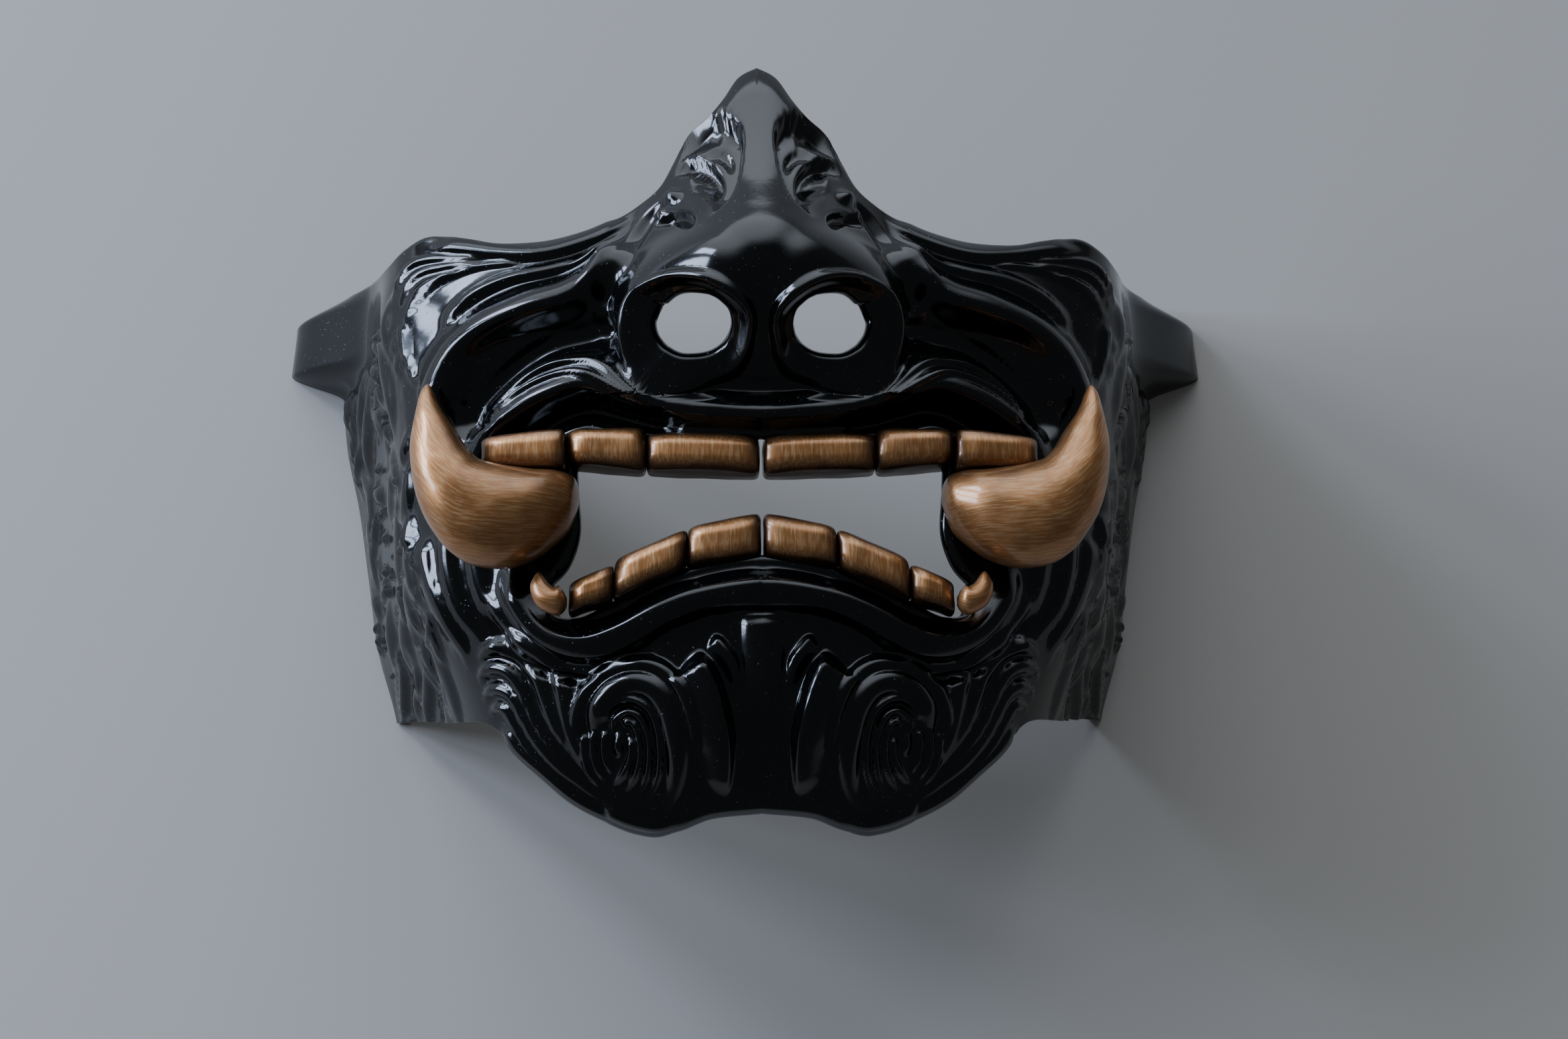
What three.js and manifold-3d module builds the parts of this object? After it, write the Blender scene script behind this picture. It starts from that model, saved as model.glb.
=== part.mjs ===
// Samurai face guard: a cast half mask with a snarling mouth, two tusks and bared teeth.
// It lies on its back rim, face up: +Z is the way the face looks, +Y is up the face.
// Millimetres. The origin is the middle of the footprint, on the plane of the back rim.

import * as THREE from 'three';
import { mergeVertices } from 'three/addons/utils/BufferGeometryUtils.js';
import Module from 'manifold-3d';

// ---------------------------------------------------------------- driving dimensions

const WALL = 3.2;              // thickness of the cast wall
const FIT_GAP = 0.65;          // air left between the shell and each tooth
const SIDE_RUN = 56;           // length of the side wall, from the cheek's corner to the rim
const CHIN_RETURN = 20;        // depth of the shelf that folds back under the chin
const CHIN_RISE = 5;           // how much that shelf climbs towards its back edge
const RETURN_FADE = [44, 53];  // distance from the middle over which the shelf dies out
const TAB_FLARE = 10;          // how far each ear tab stands out from the side wall
const TAB_REACH = [29, 51];    // lower and upper end of each ear tab
const TAB_START = 0.55;        // share of the side wall's length at which the tab begins to flare
const CELLS_HALF = 22;         // columns of the wall's grid from the middle to one rim
const ROWS = 32;               // rows of the grid from the chin to the brow
const RELAX_ROUNDS = 1500;     // how often each free corner of the grid is moved to its middle place
const EDGE_CROWDING = 0.8;     // 1 spaces the grid's columns evenly, less crowds them in the middle
const RIDGE_FOOT = 2.1;        // where the nose's ridge dies out, in half widths of the ridge

// Cross-sections of the face without its nose. Each row is one height on the face:
// z at the middle, at a third, at two thirds and at the cheek's corner, then x of the
// corner, of the side wall's middle and of the rim. z of the side's middle is half the corner's.
const SECTIONS = [
  // y,   zMid, zThird, zTwoThirds, zCorner, xCorner, xSide, xRim
  [-80, 62, 61, 56, 46, 53, 63, 75],
  [-66, 73, 73, 66, 52, 53, 63, 75],
  [-55, 79, 78, 71, 56, 53, 64, 76],
  [-44, 81, 79, 72, 57, 57, 67, 78],
  [-30, 82, 79, 72, 58, 64, 73, 82],
  [-14, 82, 79, 73, 58, 67, 76, 84.5],
  [2, 83, 80, 73, 58, 69, 78, 87],
  [16, 83, 79, 72, 57, 71, 80, 90],
  [30, 82, 77, 70, 55, 74, 82, 91],
  [44, 79, 73, 66, 54, 72, 82, 90],
  [60, 75, 68, 60, 52, 72, 82, 90],
  [78, 70, 64, 58, 50, 72, 82, 90],
];

// The shell's upper edge and its lower edge, as distance from the middle and height.
// Past the cheek's corner the distance runs on along the side wall to the rim.
const TOP_EDGE = [
  [0, 77.5], [4, 74.8], [7, 69.6], [10, 65.6], [14.3, 61.8], [17, 56.2], [19.6, 51.2], [24, 47.6],
  [29, 44.7], [35, 42.3], [43, 40.9], [52, 41.2], [58, 43.4], [66, 45.8], [73, 44.6],
  [82, 43.5], [100, 46], [130, 50],
];
const BOTTOM_EDGE = [
  [0, -73], [10, -74], [16, -76], [22, -76.8], [29, -74.4], [36, -70], [43, -63.4], [50, -56.8],
  [55, -54.2], [66, -52.4], [82, -50], [109, -46],
];

// The mouth's opening and the nostrils, on the right half.
const MOUTH = {
  columns: 9,
  rows: [10, 16],
  top: [[0, -0.5], [12, -1], [24, 0], [32, 0.2], [37.4, -3]],
  side: [[37.4, -3], [37, -12], [36.6, -20], [38.6, -26], [42, -30]],
  bottom: [[0, -26.8], [7, -27.3], [14, -28.9], [22, -31.6], [29, -35], [35, -37.4], [40, -36.4], [42, -30]],
};
const NOSTRIL = { columns: [2, 5], rows: [18, 21], centre: [13.4, 17.6], radii: [7.6, 6.2], tilt: -0.12 };

// The nose's ridge: height above the cheeks and half width at each height on the face.
const NOSE_RIDGE = [
  // y, height, halfWidth
  [4, 0, 18],
  [9, 5, 18],
  [15, 11, 17],
  [22, 17, 17],
  [29, 19.5, 17],
  [36, 17.5, 15.5],
  [46, 12.5, 13.5],
  [58, 8, 12],
  [70, 4, 12],
  [78, 2, 12],
];
const NOSE_WING = { centre: [15.5, 19], radii: [15.5, 14], height: 11.5 };
const NOSTRIL_ROLL = { radii: [10.6, 9.2], width: 3.4, height: 3 };

// Ridges and grooves: half width, height (a groove's is negative) and the line each follows.
const RIDGES = [
  { name: 'upper lip edge', width: 5.5, height: 4,
    path: [[0, 5], [12, 4], [23, 6], [31, 8.4], [37, 8], [45, 4.2], [51, -0.8], [56, -7]] },
  { name: 'moustache fold', width: 4, height: 2.4,
    path: [[18, 9], [26, 12.6], [34, 13.4], [42, 11.4], [50, 5.6], [58, -4]] },
  { name: 'fold from nose to tusk', width: 8, height: 4.5,
    path: [[27, 37], [35, 33], [44, 28], [52, 21], [58, 12], [61, 2]] },
  { name: 'hollow beside the mouth', width: 8, height: -3.5,
    path: [[28, 24], [36, 23], [45, 18], [52, 10], [57, 0]] },
  { name: 'cheekbone', width: 7, height: 4,
    path: [[70, 40], [70, 32], [69, 24], [66, 14]] },
  { name: 'rolled upper edge', width: 3.2, height: 2.4,
    path: [[16, 58], [20, 50], [28, 43.5], [36, 40.5], [46, 39.2], [56, 41], [68, 43]] },
  { name: 'hollow beside the nose bridge', width: 4, height: -3,
    path: [[9, 62], [12, 53], [16, 44]] },
  { name: 'lower lip', width: 7, height: 7,
    path: [[0, -33.6], [10, -34.6], [19, -37.5], [28, -42], [36, -43.4], [43, -39], [47, -31]] },
  { name: 'crease under the lip', width: 5, height: -2.5,
    path: [[0, -42], [10, -44], [20, -47], [30, -51], [42, -49], [49, -40]] },
  { name: 'chin flute', width: 5, height: 2.5, path: [[0, -44], [0, -56], [0, -66]] },
  { name: 'chin lobe', width: 5, height: 3.5, path: [[10.5, -47], [9.5, -55], [7.5, -66]] },
  { name: 'beard lock', width: 6, height: 4, path: [[53, -42], [50, -50], [43, -60], [34, -69]] },
];
const SPIRAL = { centre: [25.7, -60], radii: [10.5, 14], height: 4.5, groove: 1.2, pitch: 5.2, reach: 1.15 };

// Teeth, as seen from the front: inner and outer edge, then the height of the upper and
// lower edge at each of them, and how far the front face stands out.
const TOOTH_DEPTH = 8;
const TOOTH_ROUND = 1.4;
const TOOTH_CORNER = 2;
const TEETH = [
  // name, xInner, xOuter, topInner, topOuter, lowInner, lowOuter, zFront
  ['upper_tooth_central', 0.3, 21.4, -1.8, -1.6, -10, -9, 84.4],
  ['upper_tooth_lateral', 21.8, 37, -0.2, -0.2, -9, -7.6, 82.6],
  ['lower_tooth_central', 0.3, 14.2, -17.6, -20.4, -26.3, -28.2, 84.6],
  ['lower_tooth_second', 14.6, 28.2, -20.6, -26, -28.4, -34, 84],
  ['lower_tooth_third', 28.6, 36.6, -27.2, -30.8, -34.4, -36.6, 82.6],
];

// Round pieces: points of the centre line, with the radius across the face and in depth.
// Their facets are counted round the piece and along it.
const CANINE_FACETS = [10, 8];
const HOOK_FACETS = [8, 5];
const CANINE = [
  // x, y, z, across, deep
  [37.7, -4.4, 78, 2.6, 3],
  [41, -5, 78, 4, 4.4],
  [46, -5.4, 77, 4.2, 4.6],
  [51, -6.4, 75.4, 3.2, 3.6],
  [53.4, -7.4, 74, 1.6, 2],
];
const HOOK = [
  // x, y, z, across, deep
  [37.9, -33.6, 79.6, 2, 2.6],
  [39.8, -33.2, 79.8, 1.9, 2.4],
  [41.2, -31.2, 80, 1.6, 2],
  [41.4, -28.8, 80, 0.8, 1],
];

// The tusk, from its root to its tip: the ends of each section on the inside and on the
// outside of its curve, the height of the section's middle and its radius in depth.
const TUSK = [
  // xIn, yIn, xOut, yOut, z, deep
  [36.6, -10.6, 37.4, -19.6, 76.4, 5],
  [39.4, -8.9, 39.8, -23.8, 77.6, 7.2],
  [43.4, -8.4, 44, -27.4, 79, 9],
  [48, -8.2, 49.4, -29.6, 80, 9.8],
  [51.8, -8, 55, -29, 81, 9.8],
  [54.2, -7.4, 60, -26, 81.6, 9.2],
  [55.5, -6.2, 63.8, -20.6, 82, 8.4],
  [56.8, -4.6, 66.3, -13.8, 82, 7.4],
  [58.5, -2.2, 67.4, -6.4, 81.8, 6],
  [60.3, 0.6, 67, 0.4, 81.4, 4.6],
  [62.3, 4.2, 66.2, 4.8, 80.8, 2.8],
  [64, 7.6, 65.2, 8, 80.4, 0.9],
];
const TUSK_SIDES = 14;
const TUSK_STEPS = 20;

// Finishes.
const BLACK_LACQUER = { color: 0x08090b, roughness: 0.12, metalness: 0 };
const ANTIQUE_GOLD = { color: 0xb07d4e, roughness: 0.36, metalness: 0.75 };

// ---------------------------------------------------------------- small helpers

function clamp01(value) {
  return Math.min(1, Math.max(0, value));
}

function smoothStep(from, to, value) {
  const t = clamp01((value - from) / (to - from));
  return t * t * (3 - 2 * t);
}

function bell(q) {
  const inside = Math.max(0, 1 - q * q);
  return inside * inside;
}

// Smooth curve through the rows of a table whose first column is the position.
function readTable(rows, at) {
  const last = rows.length - 1;
  let i = 0;
  while (i < last - 1 && at > rows[i + 1][0]) i += 1;
  const span = rows[i + 1][0] - rows[i][0];
  const t = clamp01((at - rows[i][0]) / span);
  const before = rows[Math.max(i - 1, 0)];
  const after = rows[Math.min(i + 2, last)];
  return rows[i].slice(1).map((value, k) => {
    const c = k + 1;
    const next = rows[i + 1][c];
    const slopeIn = (next - before[c]) / (rows[i + 1][0] - before[0]);
    const slopeOut = (after[c] - value) / (after[0] - rows[i][0]);
    const h00 = 2 * t ** 3 - 3 * t ** 2 + 1;
    const h10 = t ** 3 - 2 * t ** 2 + t;
    const h01 = 3 * t ** 2 - 2 * t ** 3;
    const h11 = t ** 3 - t ** 2;
    return h00 * value + h10 * span * slopeIn + h01 * next + h11 * span * slopeOut;
  });
}

// Point at a share of the length of an open line of [x, y] points.
function alongLine(points, share) {
  const line = new THREE.CatmullRomCurve3(points.map(([x, y]) => new THREE.Vector3(x, y, 0)));
  const spot = line.getPointAt(clamp01(share));
  return [spot.x, spot.y];
}

function distanceToLine(points, x, y) {
  let best = Infinity;
  for (let i = 0; i + 1 < points.length; i += 1) {
    const [ax, ay] = points[i];
    const dx = points[i + 1][0] - ax;
    const dy = points[i + 1][1] - ay;
    const t = clamp01(((x - ax) * dx + (y - ay) * dy) / (dx * dx + dy * dy));
    best = Math.min(best, Math.hypot(x - ax - t * dx, y - ay - t * dy));
  }
  return best;
}

// ---------------------------------------------------------------- the face's form

// Bare face at a distance from the middle, measured along the wall, and a height.
function bareFace(along, y) {
  const side = Math.sign(along) || 1;
  const reach = Math.abs(along);
  const [zMid, zThird, zTwoThirds, zCorner, xCorner, xSide, xRim] = readTable(SECTIONS, y);
  const section = [
    [-xCorner / 3, -xCorner / 3, zThird],
    [0, 0, zMid],
    [xCorner / 3, xCorner / 3, zThird],
    [(2 * xCorner) / 3, (2 * xCorner) / 3, zTwoThirds],
    [xCorner, xCorner, zCorner],
    [xCorner + SIDE_RUN / 2, xSide, zCorner / 2],
    [xCorner + SIDE_RUN, xRim, 0],
    [xCorner + 1.5 * SIDE_RUN, 2 * xRim - xSide, -zCorner / 2],
  ];
  const [x, z] = readTable(section, Math.min(reach, xCorner + SIDE_RUN));
  const toRim = (reach - xCorner) / SIDE_RUN;
  const [tabLow, tabHigh] = TAB_REACH;
  const tabMiddle = (tabLow + tabHigh) / 2;
  const tabHalf = (tabHigh - tabLow) / 2 + 3;
  const flare = TAB_FLARE * smoothStep(TAB_START, 1, toRim) * bell((y - tabMiddle) / tabHalf);
  return new THREE.Vector3(side * (x + flare), y, z);
}

// Height that the nose adds, large enough for the inside of the shell to follow it.
function noseHeight(x, y) {
  const [ridge, halfWidth] = readTable(NOSE_RIDGE, y);
  const bridge = y < NOSE_RIDGE[0][0] ? 0 : ridge * bell(x / (RIDGE_FOOT * halfWidth));
  const wingX = (x - NOSE_WING.centre[0]) / NOSE_WING.radii[0];
  const wingY = (y - NOSE_WING.centre[1]) / NOSE_WING.radii[1];
  const wing = NOSE_WING.height * bell(Math.hypot(wingX, wingY) ** 2);
  return Math.hypot(bridge, wing);
}

const FINE_RIDGES = RIDGES.map((ridge) => {
  const line = new THREE.SplineCurve(ridge.path.map(([x, y]) => new THREE.Vector2(x, y)));
  return { ...ridge, line: line.getPoints(24).map((spot) => [spot.x, spot.y]) };
});

// Height of the modelled folds, lips and whirls on the outside only.
function foldHeight(x, y) {
  let height = 0;
  for (const ridge of FINE_RIDGES) {
    height += ridge.height * bell(distanceToLine(ridge.line, x, y) / ridge.width);
  }
  const ringX = (x - NOSTRIL.centre[0]) / NOSTRIL_ROLL.radii[0];
  const ringY = (y - NOSTRIL.centre[1]) / NOSTRIL_ROLL.radii[1];
  const fromRing = (Math.hypot(ringX, ringY) - 1) * NOSTRIL_ROLL.radii[1];
  height += NOSTRIL_ROLL.height * bell(fromRing / NOSTRIL_ROLL.width);
  const whirlX = (x - SPIRAL.centre[0]) / SPIRAL.radii[0];
  const whirlY = (y - SPIRAL.centre[1]) / SPIRAL.radii[1];
  const radius = Math.hypot(whirlX, whirlY);
  const turn = Math.atan2(whirlY, whirlX) / (2 * Math.PI);
  const groove = Math.cos(2 * Math.PI * ((radius * SPIRAL.radii[0]) / SPIRAL.pitch - turn));
  height += bell(radius / SPIRAL.reach) * SPIRAL.height;
  height += bell(radius / SPIRAL.reach) * SPIRAL.groove * groove;
  return height;
}

// Point of the outer face, without or with its folds.
function facePoint(along, y, folds) {
  const spot = bareFace(along, y);
  const x = Math.abs(spot.x);
  spot.z += noseHeight(x, y);
  if (!folds) return spot;
  const out = faceNormal(along, y);
  spot.addScaledVector(out, foldHeight(x, y));
  return spot;
}

function faceNormal(along, y) {
  const step = 0.5;
  const acrossFace = facePoint(along + step, y, false).sub(facePoint(along - step, y, false));
  const upFace = facePoint(along, y + step, false).sub(facePoint(along, y - step, false));
  return acrossFace.cross(upFace).normalize();
}

// ---------------------------------------------------------------- the wall's grid

// The grid's places on the unrolled face. Its edges lie on the shell's edges and round the
// openings, and the rest settles halfway between its neighbours.
function wallGrid(clearance) {
  const columns = 2 * CELLS_HALF;
  const place = Array.from({ length: columns + 1 }, () => new Array(ROWS + 1));
  const fixed = Array.from({ length: columns + 1 }, () => new Array(ROWS + 1).fill(false));
  const pin = (i, j, along, y) => {
    place[CELLS_HALF + i][j] = [along, y];
    place[CELLS_HALF - i][j] = [-along, y];
    fixed[CELLS_HALF + i][j] = true;
    fixed[CELLS_HALF - i][j] = true;
  };
  const rimAt = (y) => readTable(SECTIONS, y)[4] + SIDE_RUN;
  const [, rimTop] = TOP_EDGE[TOP_EDGE.length - 1];
  const [, rimBottom] = BOTTOM_EDGE[BOTTOM_EDGE.length - 1];
  for (let i = 0; i <= CELLS_HALF; i += 1) {
    const share = i / CELLS_HALF;
    const spread = share * (EDGE_CROWDING + (1 - EDGE_CROWDING) * share);
    const topAlong = spread * rimAt(rimTop);
    const lowAlong = spread * rimAt(rimBottom);
    pin(i, ROWS, topAlong, readTable(TOP_EDGE, topAlong)[0]);
    pin(i, 0, lowAlong, readTable(BOTTOM_EDGE, lowAlong)[0]);
  }
  for (let j = 0; j <= ROWS; j += 1) {
    const y = THREE.MathUtils.lerp(rimBottom, rimTop, j / ROWS);
    pin(CELLS_HALF, j, rimAt(y), y);
  }
  const inward = (point, middle) => {
    const pull = new THREE.Vector2(middle[0] - point[0], middle[1] - point[1]);
    pull.setLength(clearance);
    return [point[0] + pull.x, point[1] + pull.y];
  };
  const [mouthLow, mouthHigh] = MOUTH.rows;
  const mouthMiddle = [0, -15];
  for (let i = 0; i <= MOUTH.columns; i += 1) {
    const high = inward(alongLine(MOUTH.top, i / MOUTH.columns), mouthMiddle);
    const low = inward(alongLine(MOUTH.bottom, i / MOUTH.columns), mouthMiddle);
    pin(i, mouthHigh, i === 0 ? 0 : high[0], high[1]);
    pin(i, mouthLow, i === 0 ? 0 : low[0], low[1]);
  }
  for (let j = mouthLow + 1; j < mouthHigh; j += 1) {
    const share = (mouthHigh - j) / (mouthHigh - mouthLow);
    const spot = inward(alongLine(MOUTH.side, share), mouthMiddle);
    pin(MOUTH.columns, j, spot[0], spot[1]);
  }
  const [nearColumn, farColumn] = NOSTRIL.columns;
  const [lowRow, highRow] = NOSTRIL.rows;
  for (let i = nearColumn; i <= farColumn; i += 1) {
    for (let j = lowRow; j <= highRow; j += 1) {
      const acrossHole = (2 * (i - nearColumn)) / (farColumn - nearColumn) - 1;
      const upHole = (2 * (j - lowRow)) / (highRow - lowRow) - 1;
      const onEdge = Math.max(Math.abs(acrossHole), Math.abs(upHole)) === 1;
      if (onEdge) {
        const angle = Math.atan2(upHole, acrossHole);
        const dx = (NOSTRIL.radii[0] - clearance) * Math.cos(angle);
        const dy = (NOSTRIL.radii[1] - clearance) * Math.sin(angle);
        pin(i, j, NOSTRIL.centre[0] + dx, NOSTRIL.centre[1] + dy - NOSTRIL.tilt * dx);
      }
    }
  }
  for (let i = 0; i <= columns; i += 1) {
    for (let j = 0; j <= ROWS; j += 1) {
      if (!fixed[i][j]) {
        const low = place[i][0];
        const high = place[i][ROWS];
        const share = j / ROWS;
        place[i][j] = [THREE.MathUtils.lerp(low[0], high[0], share),
          THREE.MathUtils.lerp(low[1], high[1], share)];
      }
    }
  }
  for (let round = 0; round < RELAX_ROUNDS; round += 1) {
    for (let i = 1; i < columns; i += 1) {
      for (let j = 1; j < ROWS; j += 1) {
        if (!fixed[i][j]) {
          const around = [place[i - 1][j], place[i + 1][j], place[i][j - 1], place[i][j + 1]];
          place[i][j] = [0, 1].map((axis) => around.reduce((sum, p) => sum + p[axis], 0) / 4);
        }
      }
    }
  }
  return place;
}

function isOpenCell(i, j) {
  const column = i < CELLS_HALF ? CELLS_HALF - 1 - i : i - CELLS_HALF;
  const inMouth = column < MOUTH.columns && j >= MOUTH.rows[0] && j < MOUTH.rows[1];
  const inNostril = column >= NOSTRIL.columns[0] && column < NOSTRIL.columns[1]
    && j >= NOSTRIL.rows[0] && j < NOSTRIL.rows[1];
  return inMouth || inNostril;
}

// ---------------------------------------------------------------- the cast shell

// The shelf under the chin: how far each of its rows lies behind the front edge, and how
// far outside it, as shares of the shelf's depth.
const RETURN_ROWS = [
  // back, outward
  [1, -0.3],
  [0.55, -0.08],
  [0.18, 0.035],
];

// Way out of the shell at a place on its lower edge, level with the table, and how much of
// the shelf there is at that place.
function chinReturn(place, column) {
  const before = place[Math.max(column - 1, 0)][0];
  const after = place[Math.min(column + 1, place.length - 1)][0];
  const away = new THREE.Vector3(after[1] - before[1], before[0] - after[0], 0).normalize();
  const amount = 1 - smoothStep(RETURN_FADE[0], RETURN_FADE[1], Math.abs(place[column][0][0]));
  return { away, amount };
}

// The outer and the inner place of one crossing of the wall's grid.
function wallPair(place, column, row, outside, inside) {
  const [along, y] = place[column][Math.max(row, 0)];
  const normal = faceNormal(along, y);
  const outer = facePoint(along, y, true).addScaledVector(normal, outside);
  const inner = facePoint(along, y, false);
  if (Math.abs(along) + 0.01 > readTable(SECTIONS, y)[4] + SIDE_RUN) {
    const level = new THREE.Vector3(normal.x, normal.y, 0).normalize();
    outer.copy(inner).addScaledVector(level, outside).setZ(0);
    inner.addScaledVector(level, -inside).setZ(0);
    return [outer, inner];
  }
  if (row > 0) return [outer, inner.addScaledVector(normal, -inside)];
  const { away, amount } = chinReturn(place, column);
  if (row === 0) {
    inner.addScaledVector(normal, -inside).addScaledVector(away, -inside * amount);
    return [outer, inner];
  }
  const [back, outward] = RETURN_ROWS[row + RETURN_ROWS.length];
  const depth = CHIN_RETURN * amount;
  const shift = away.clone().multiplyScalar(depth * outward);
  shift.y += CHIN_RISE * amount * back * back;
  shift.z = -depth * back;
  inner.addScaledVector(normal, -inside * (1 - amount)).addScaledVector(away, -inside * amount);
  return [outer.add(shift), inner.add(shift)];
}

// One closed wall: an outer and an inner skin joined round every edge.
function wallMesh(outside, inside, clearance) {
  const place = wallGrid(clearance);
  const extra = RETURN_ROWS.length;
  const columns = 2 * CELLS_HALF;
  const rows = ROWS + extra;
  const plate = new THREE.PlaneGeometry(columns, rows, columns, rows);
  const flat = plate.getAttribute('position');
  const outerSkin = [];
  const innerSkin = [];
  for (let v = 0; v < flat.count; v += 1) {
    const column = Math.round(flat.getX(v) + columns / 2);
    const row = Math.round(flat.getY(v) + rows / 2) - extra;
    const [outer, inner] = wallPair(place, column, row, outside, inside);
    outerSkin.push(...outer.toArray());
    innerSkin.push(...inner.toArray());
  }
  const corner = (column, row) => (rows - row) * (columns + 1) + column;
  const solid = (column, row) => column >= 0 && column < columns && row >= 0 && row < rows
    && !(row >= extra && isOpenCell(column, row - extra));
  const faces = [];
  // Faces are split the mirrored way on the left half, so that both halves are alike.
  const quad = (left, a, b, c, d) => {
    if (left) faces.push(b, c, d, b, d, a);
    else faces.push(a, b, c, a, c, d);
  };
  for (let i = 0; i < columns; i += 1) {
    for (let j = 0; j < rows; j += 1) {
      if (solid(i, j)) {
        const left = i < CELLS_HALF;
        const ring = [corner(i, j), corner(i + 1, j), corner(i + 1, j + 1), corner(i, j + 1)];
        const edge = (a, b) => quad(left, b, a, a + flat.count, b + flat.count);
        quad(left, ...ring);
        quad(left, ...ring.map((v) => v + flat.count).reverse());
        if (!solid(i, j - 1)) edge(ring[0], ring[1]);
        if (!solid(i + 1, j)) edge(ring[1], ring[2]);
        if (!solid(i, j + 1)) edge(ring[2], ring[3]);
        if (!solid(i - 1, j)) edge(ring[3], ring[0]);
      }
    }
  }
  const wall = new THREE.BufferGeometry();
  wall.setAttribute('position', new THREE.Float32BufferAttribute([...outerSkin, ...innerSkin], 3));
  wall.setIndex(faces);
  return withoutSlivers(mergeVertices(wall, 1e-3));
}

// The same geometry without the faces that merging has closed up.
function withoutSlivers(geometry) {
  const old = geometry.getIndex().array;
  const kept = [];
  for (let f = 0; f < old.length; f += 3) {
    const [a, b, c] = [old[f], old[f + 1], old[f + 2]];
    if (a !== b && b !== c && c !== a) kept.push(a, b, c);
  }
  geometry.setIndex(kept);
  return geometry;
}

// ---------------------------------------------------------------- solids

const manifold = await Module();
manifold.setup();

function toSolid(geometry) {
  const bare = geometry.clone();
  for (const name of Object.keys(bare.attributes)) {
    if (name !== 'position') bare.deleteAttribute(name);
  }
  const merged = withoutSlivers(mergeVertices(bare, 1e-4));
  return new manifold.Manifold(new manifold.Mesh({
    numProp: 3,
    vertProperties: new Float32Array(merged.getAttribute('position').array),
    triVerts: new Uint32Array(merged.getIndex().array),
  }));
}

function toGeometry(solid) {
  const mesh = solid.getMesh();
  const geometry = new THREE.BufferGeometry();
  geometry.setAttribute('position', new THREE.BufferAttribute(mesh.vertProperties, 3));
  geometry.setIndex(new THREE.BufferAttribute(mesh.triVerts, 1));
  return geometry;
}

// The largest of the bodies that a cut leaves.
function mainBody(solid) {
  const bodies = solid.decompose();
  return bodies.reduce((best, body) => (body.volume() > best.volume() ? body : best));
}

// A tooth with rounded corners, seen from the front as a four-sided outline.
function toothGeometry([, xInner, xOuter, topInner, topOuter, lowInner, lowOuter, zFront]) {
  const corners = [[xInner, lowInner], [xOuter, lowOuter], [xOuter, topOuter], [xInner, topInner]];
  const shape = new THREE.Shape();
  corners.forEach((corner, k) => {
    const toward = (other) => {
      const way = new THREE.Vector2(other[0] - corner[0], other[1] - corner[1]);
      way.setLength(TOOTH_CORNER);
      return [corner[0] + way.x, corner[1] + way.y];
    };
    const start = toward(corners[(k + 3) % 4]);
    const end = toward(corners[(k + 1) % 4]);
    if (k === 0) shape.moveTo(...start);
    else shape.lineTo(...start);
    shape.quadraticCurveTo(...corner, ...end);
  });
  shape.closePath();
  const geometry = new THREE.ExtrudeGeometry(shape, {
    depth: TOOTH_DEPTH - TOOTH_ROUND,
    bevelEnabled: true,
    bevelSize: TOOTH_ROUND,
    bevelOffset: -TOOTH_ROUND,
    bevelThickness: TOOTH_ROUND,
    bevelSegments: 2,
    curveSegments: 2,
  });
  return geometry.translate(0, 0, zFront - TOOTH_DEPTH);
}

// Bends a round bar into sections that a function gives from its root to its tip: each has
// a middle, an arm across the face and a radius in depth.
function bentBar(sides, steps, sectionAt) {
  const bar = new THREE.CylinderGeometry(1, 1, 1, sides, steps, false);
  const vertex = bar.getAttribute('position');
  for (let v = 0; v < vertex.count; v += 1) {
    const { middle, arm, deep } = sectionAt(vertex.getY(v) + 0.5);
    const x = middle.x + vertex.getX(v) * arm.x;
    const y = middle.y + vertex.getX(v) * arm.y;
    vertex.setXYZ(v, x, y, middle.z - vertex.getZ(v) * deep);
  }
  return bar;
}

// A bar along rows of x, y, z, radius across the face and radius in depth.
function lumpGeometry(stations, sides, steps) {
  const line = new THREE.CatmullRomCurve3(stations.map(([x, y, z]) => new THREE.Vector3(x, y, z)));
  const rows = stations.map(([, , , across, deep], k) => [k / (stations.length - 1), across, deep]);
  return bentBar(sides, steps, (share) => {
    const ahead = line.getTangent(share);
    const [across, deep] = readTable(rows, share);
    const arm = new THREE.Vector2(-ahead.y, ahead.x).setLength(across);
    return { middle: line.getPoint(share), arm, deep };
  });
}

// The tusk, made thicker all round by a margin.
function tuskGeometry(margin) {
  const rows = TUSK.map((row, k) => [k / (TUSK.length - 1), ...row]);
  return bentBar(TUSK_SIDES, TUSK_STEPS, (share) => {
    const [xIn, yIn, xOut, yOut, z, deep] = readTable(rows, share);
    const arm = new THREE.Vector2(xIn - xOut, yIn - yOut);
    arm.setLength(arm.length() / 2 + margin);
    const middle = new THREE.Vector3((xIn + xOut) / 2, (yIn + yOut) / 2, z);
    return { middle, arm, deep: deep + margin };
  });
}

// ---------------------------------------------------------------- the assembly

const guard = new THREE.Group();

function addPiece(name, geometry, finish) {
  const piece = new THREE.Mesh(geometry, new THREE.MeshStandardMaterial(finish));
  piece.name = name;
  guard.add(piece);
}

const wall = toSolid(wallMesh(0, WALL, 0));
const keepClear = toSolid(wallMesh(FIT_GAP, WALL + FIT_GAP, FIT_GAP));
addPiece('face_shell', toGeometry(wall), BLACK_LACQUER);

// Cuts a gold piece free of the shell, and makes its mirror image for the other side.
function addGoldPair(name, geometry, taken) {
  let right = toSolid(geometry).subtract(keepClear);
  if (taken) right = right.subtract(taken);
  right = mainBody(right);
  addPiece(`${name}_r`, toGeometry(right), ANTIQUE_GOLD);
  addPiece(`${name}_l`, toGeometry(right.mirror([1, 0, 0])), ANTIQUE_GOLD);
}

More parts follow.
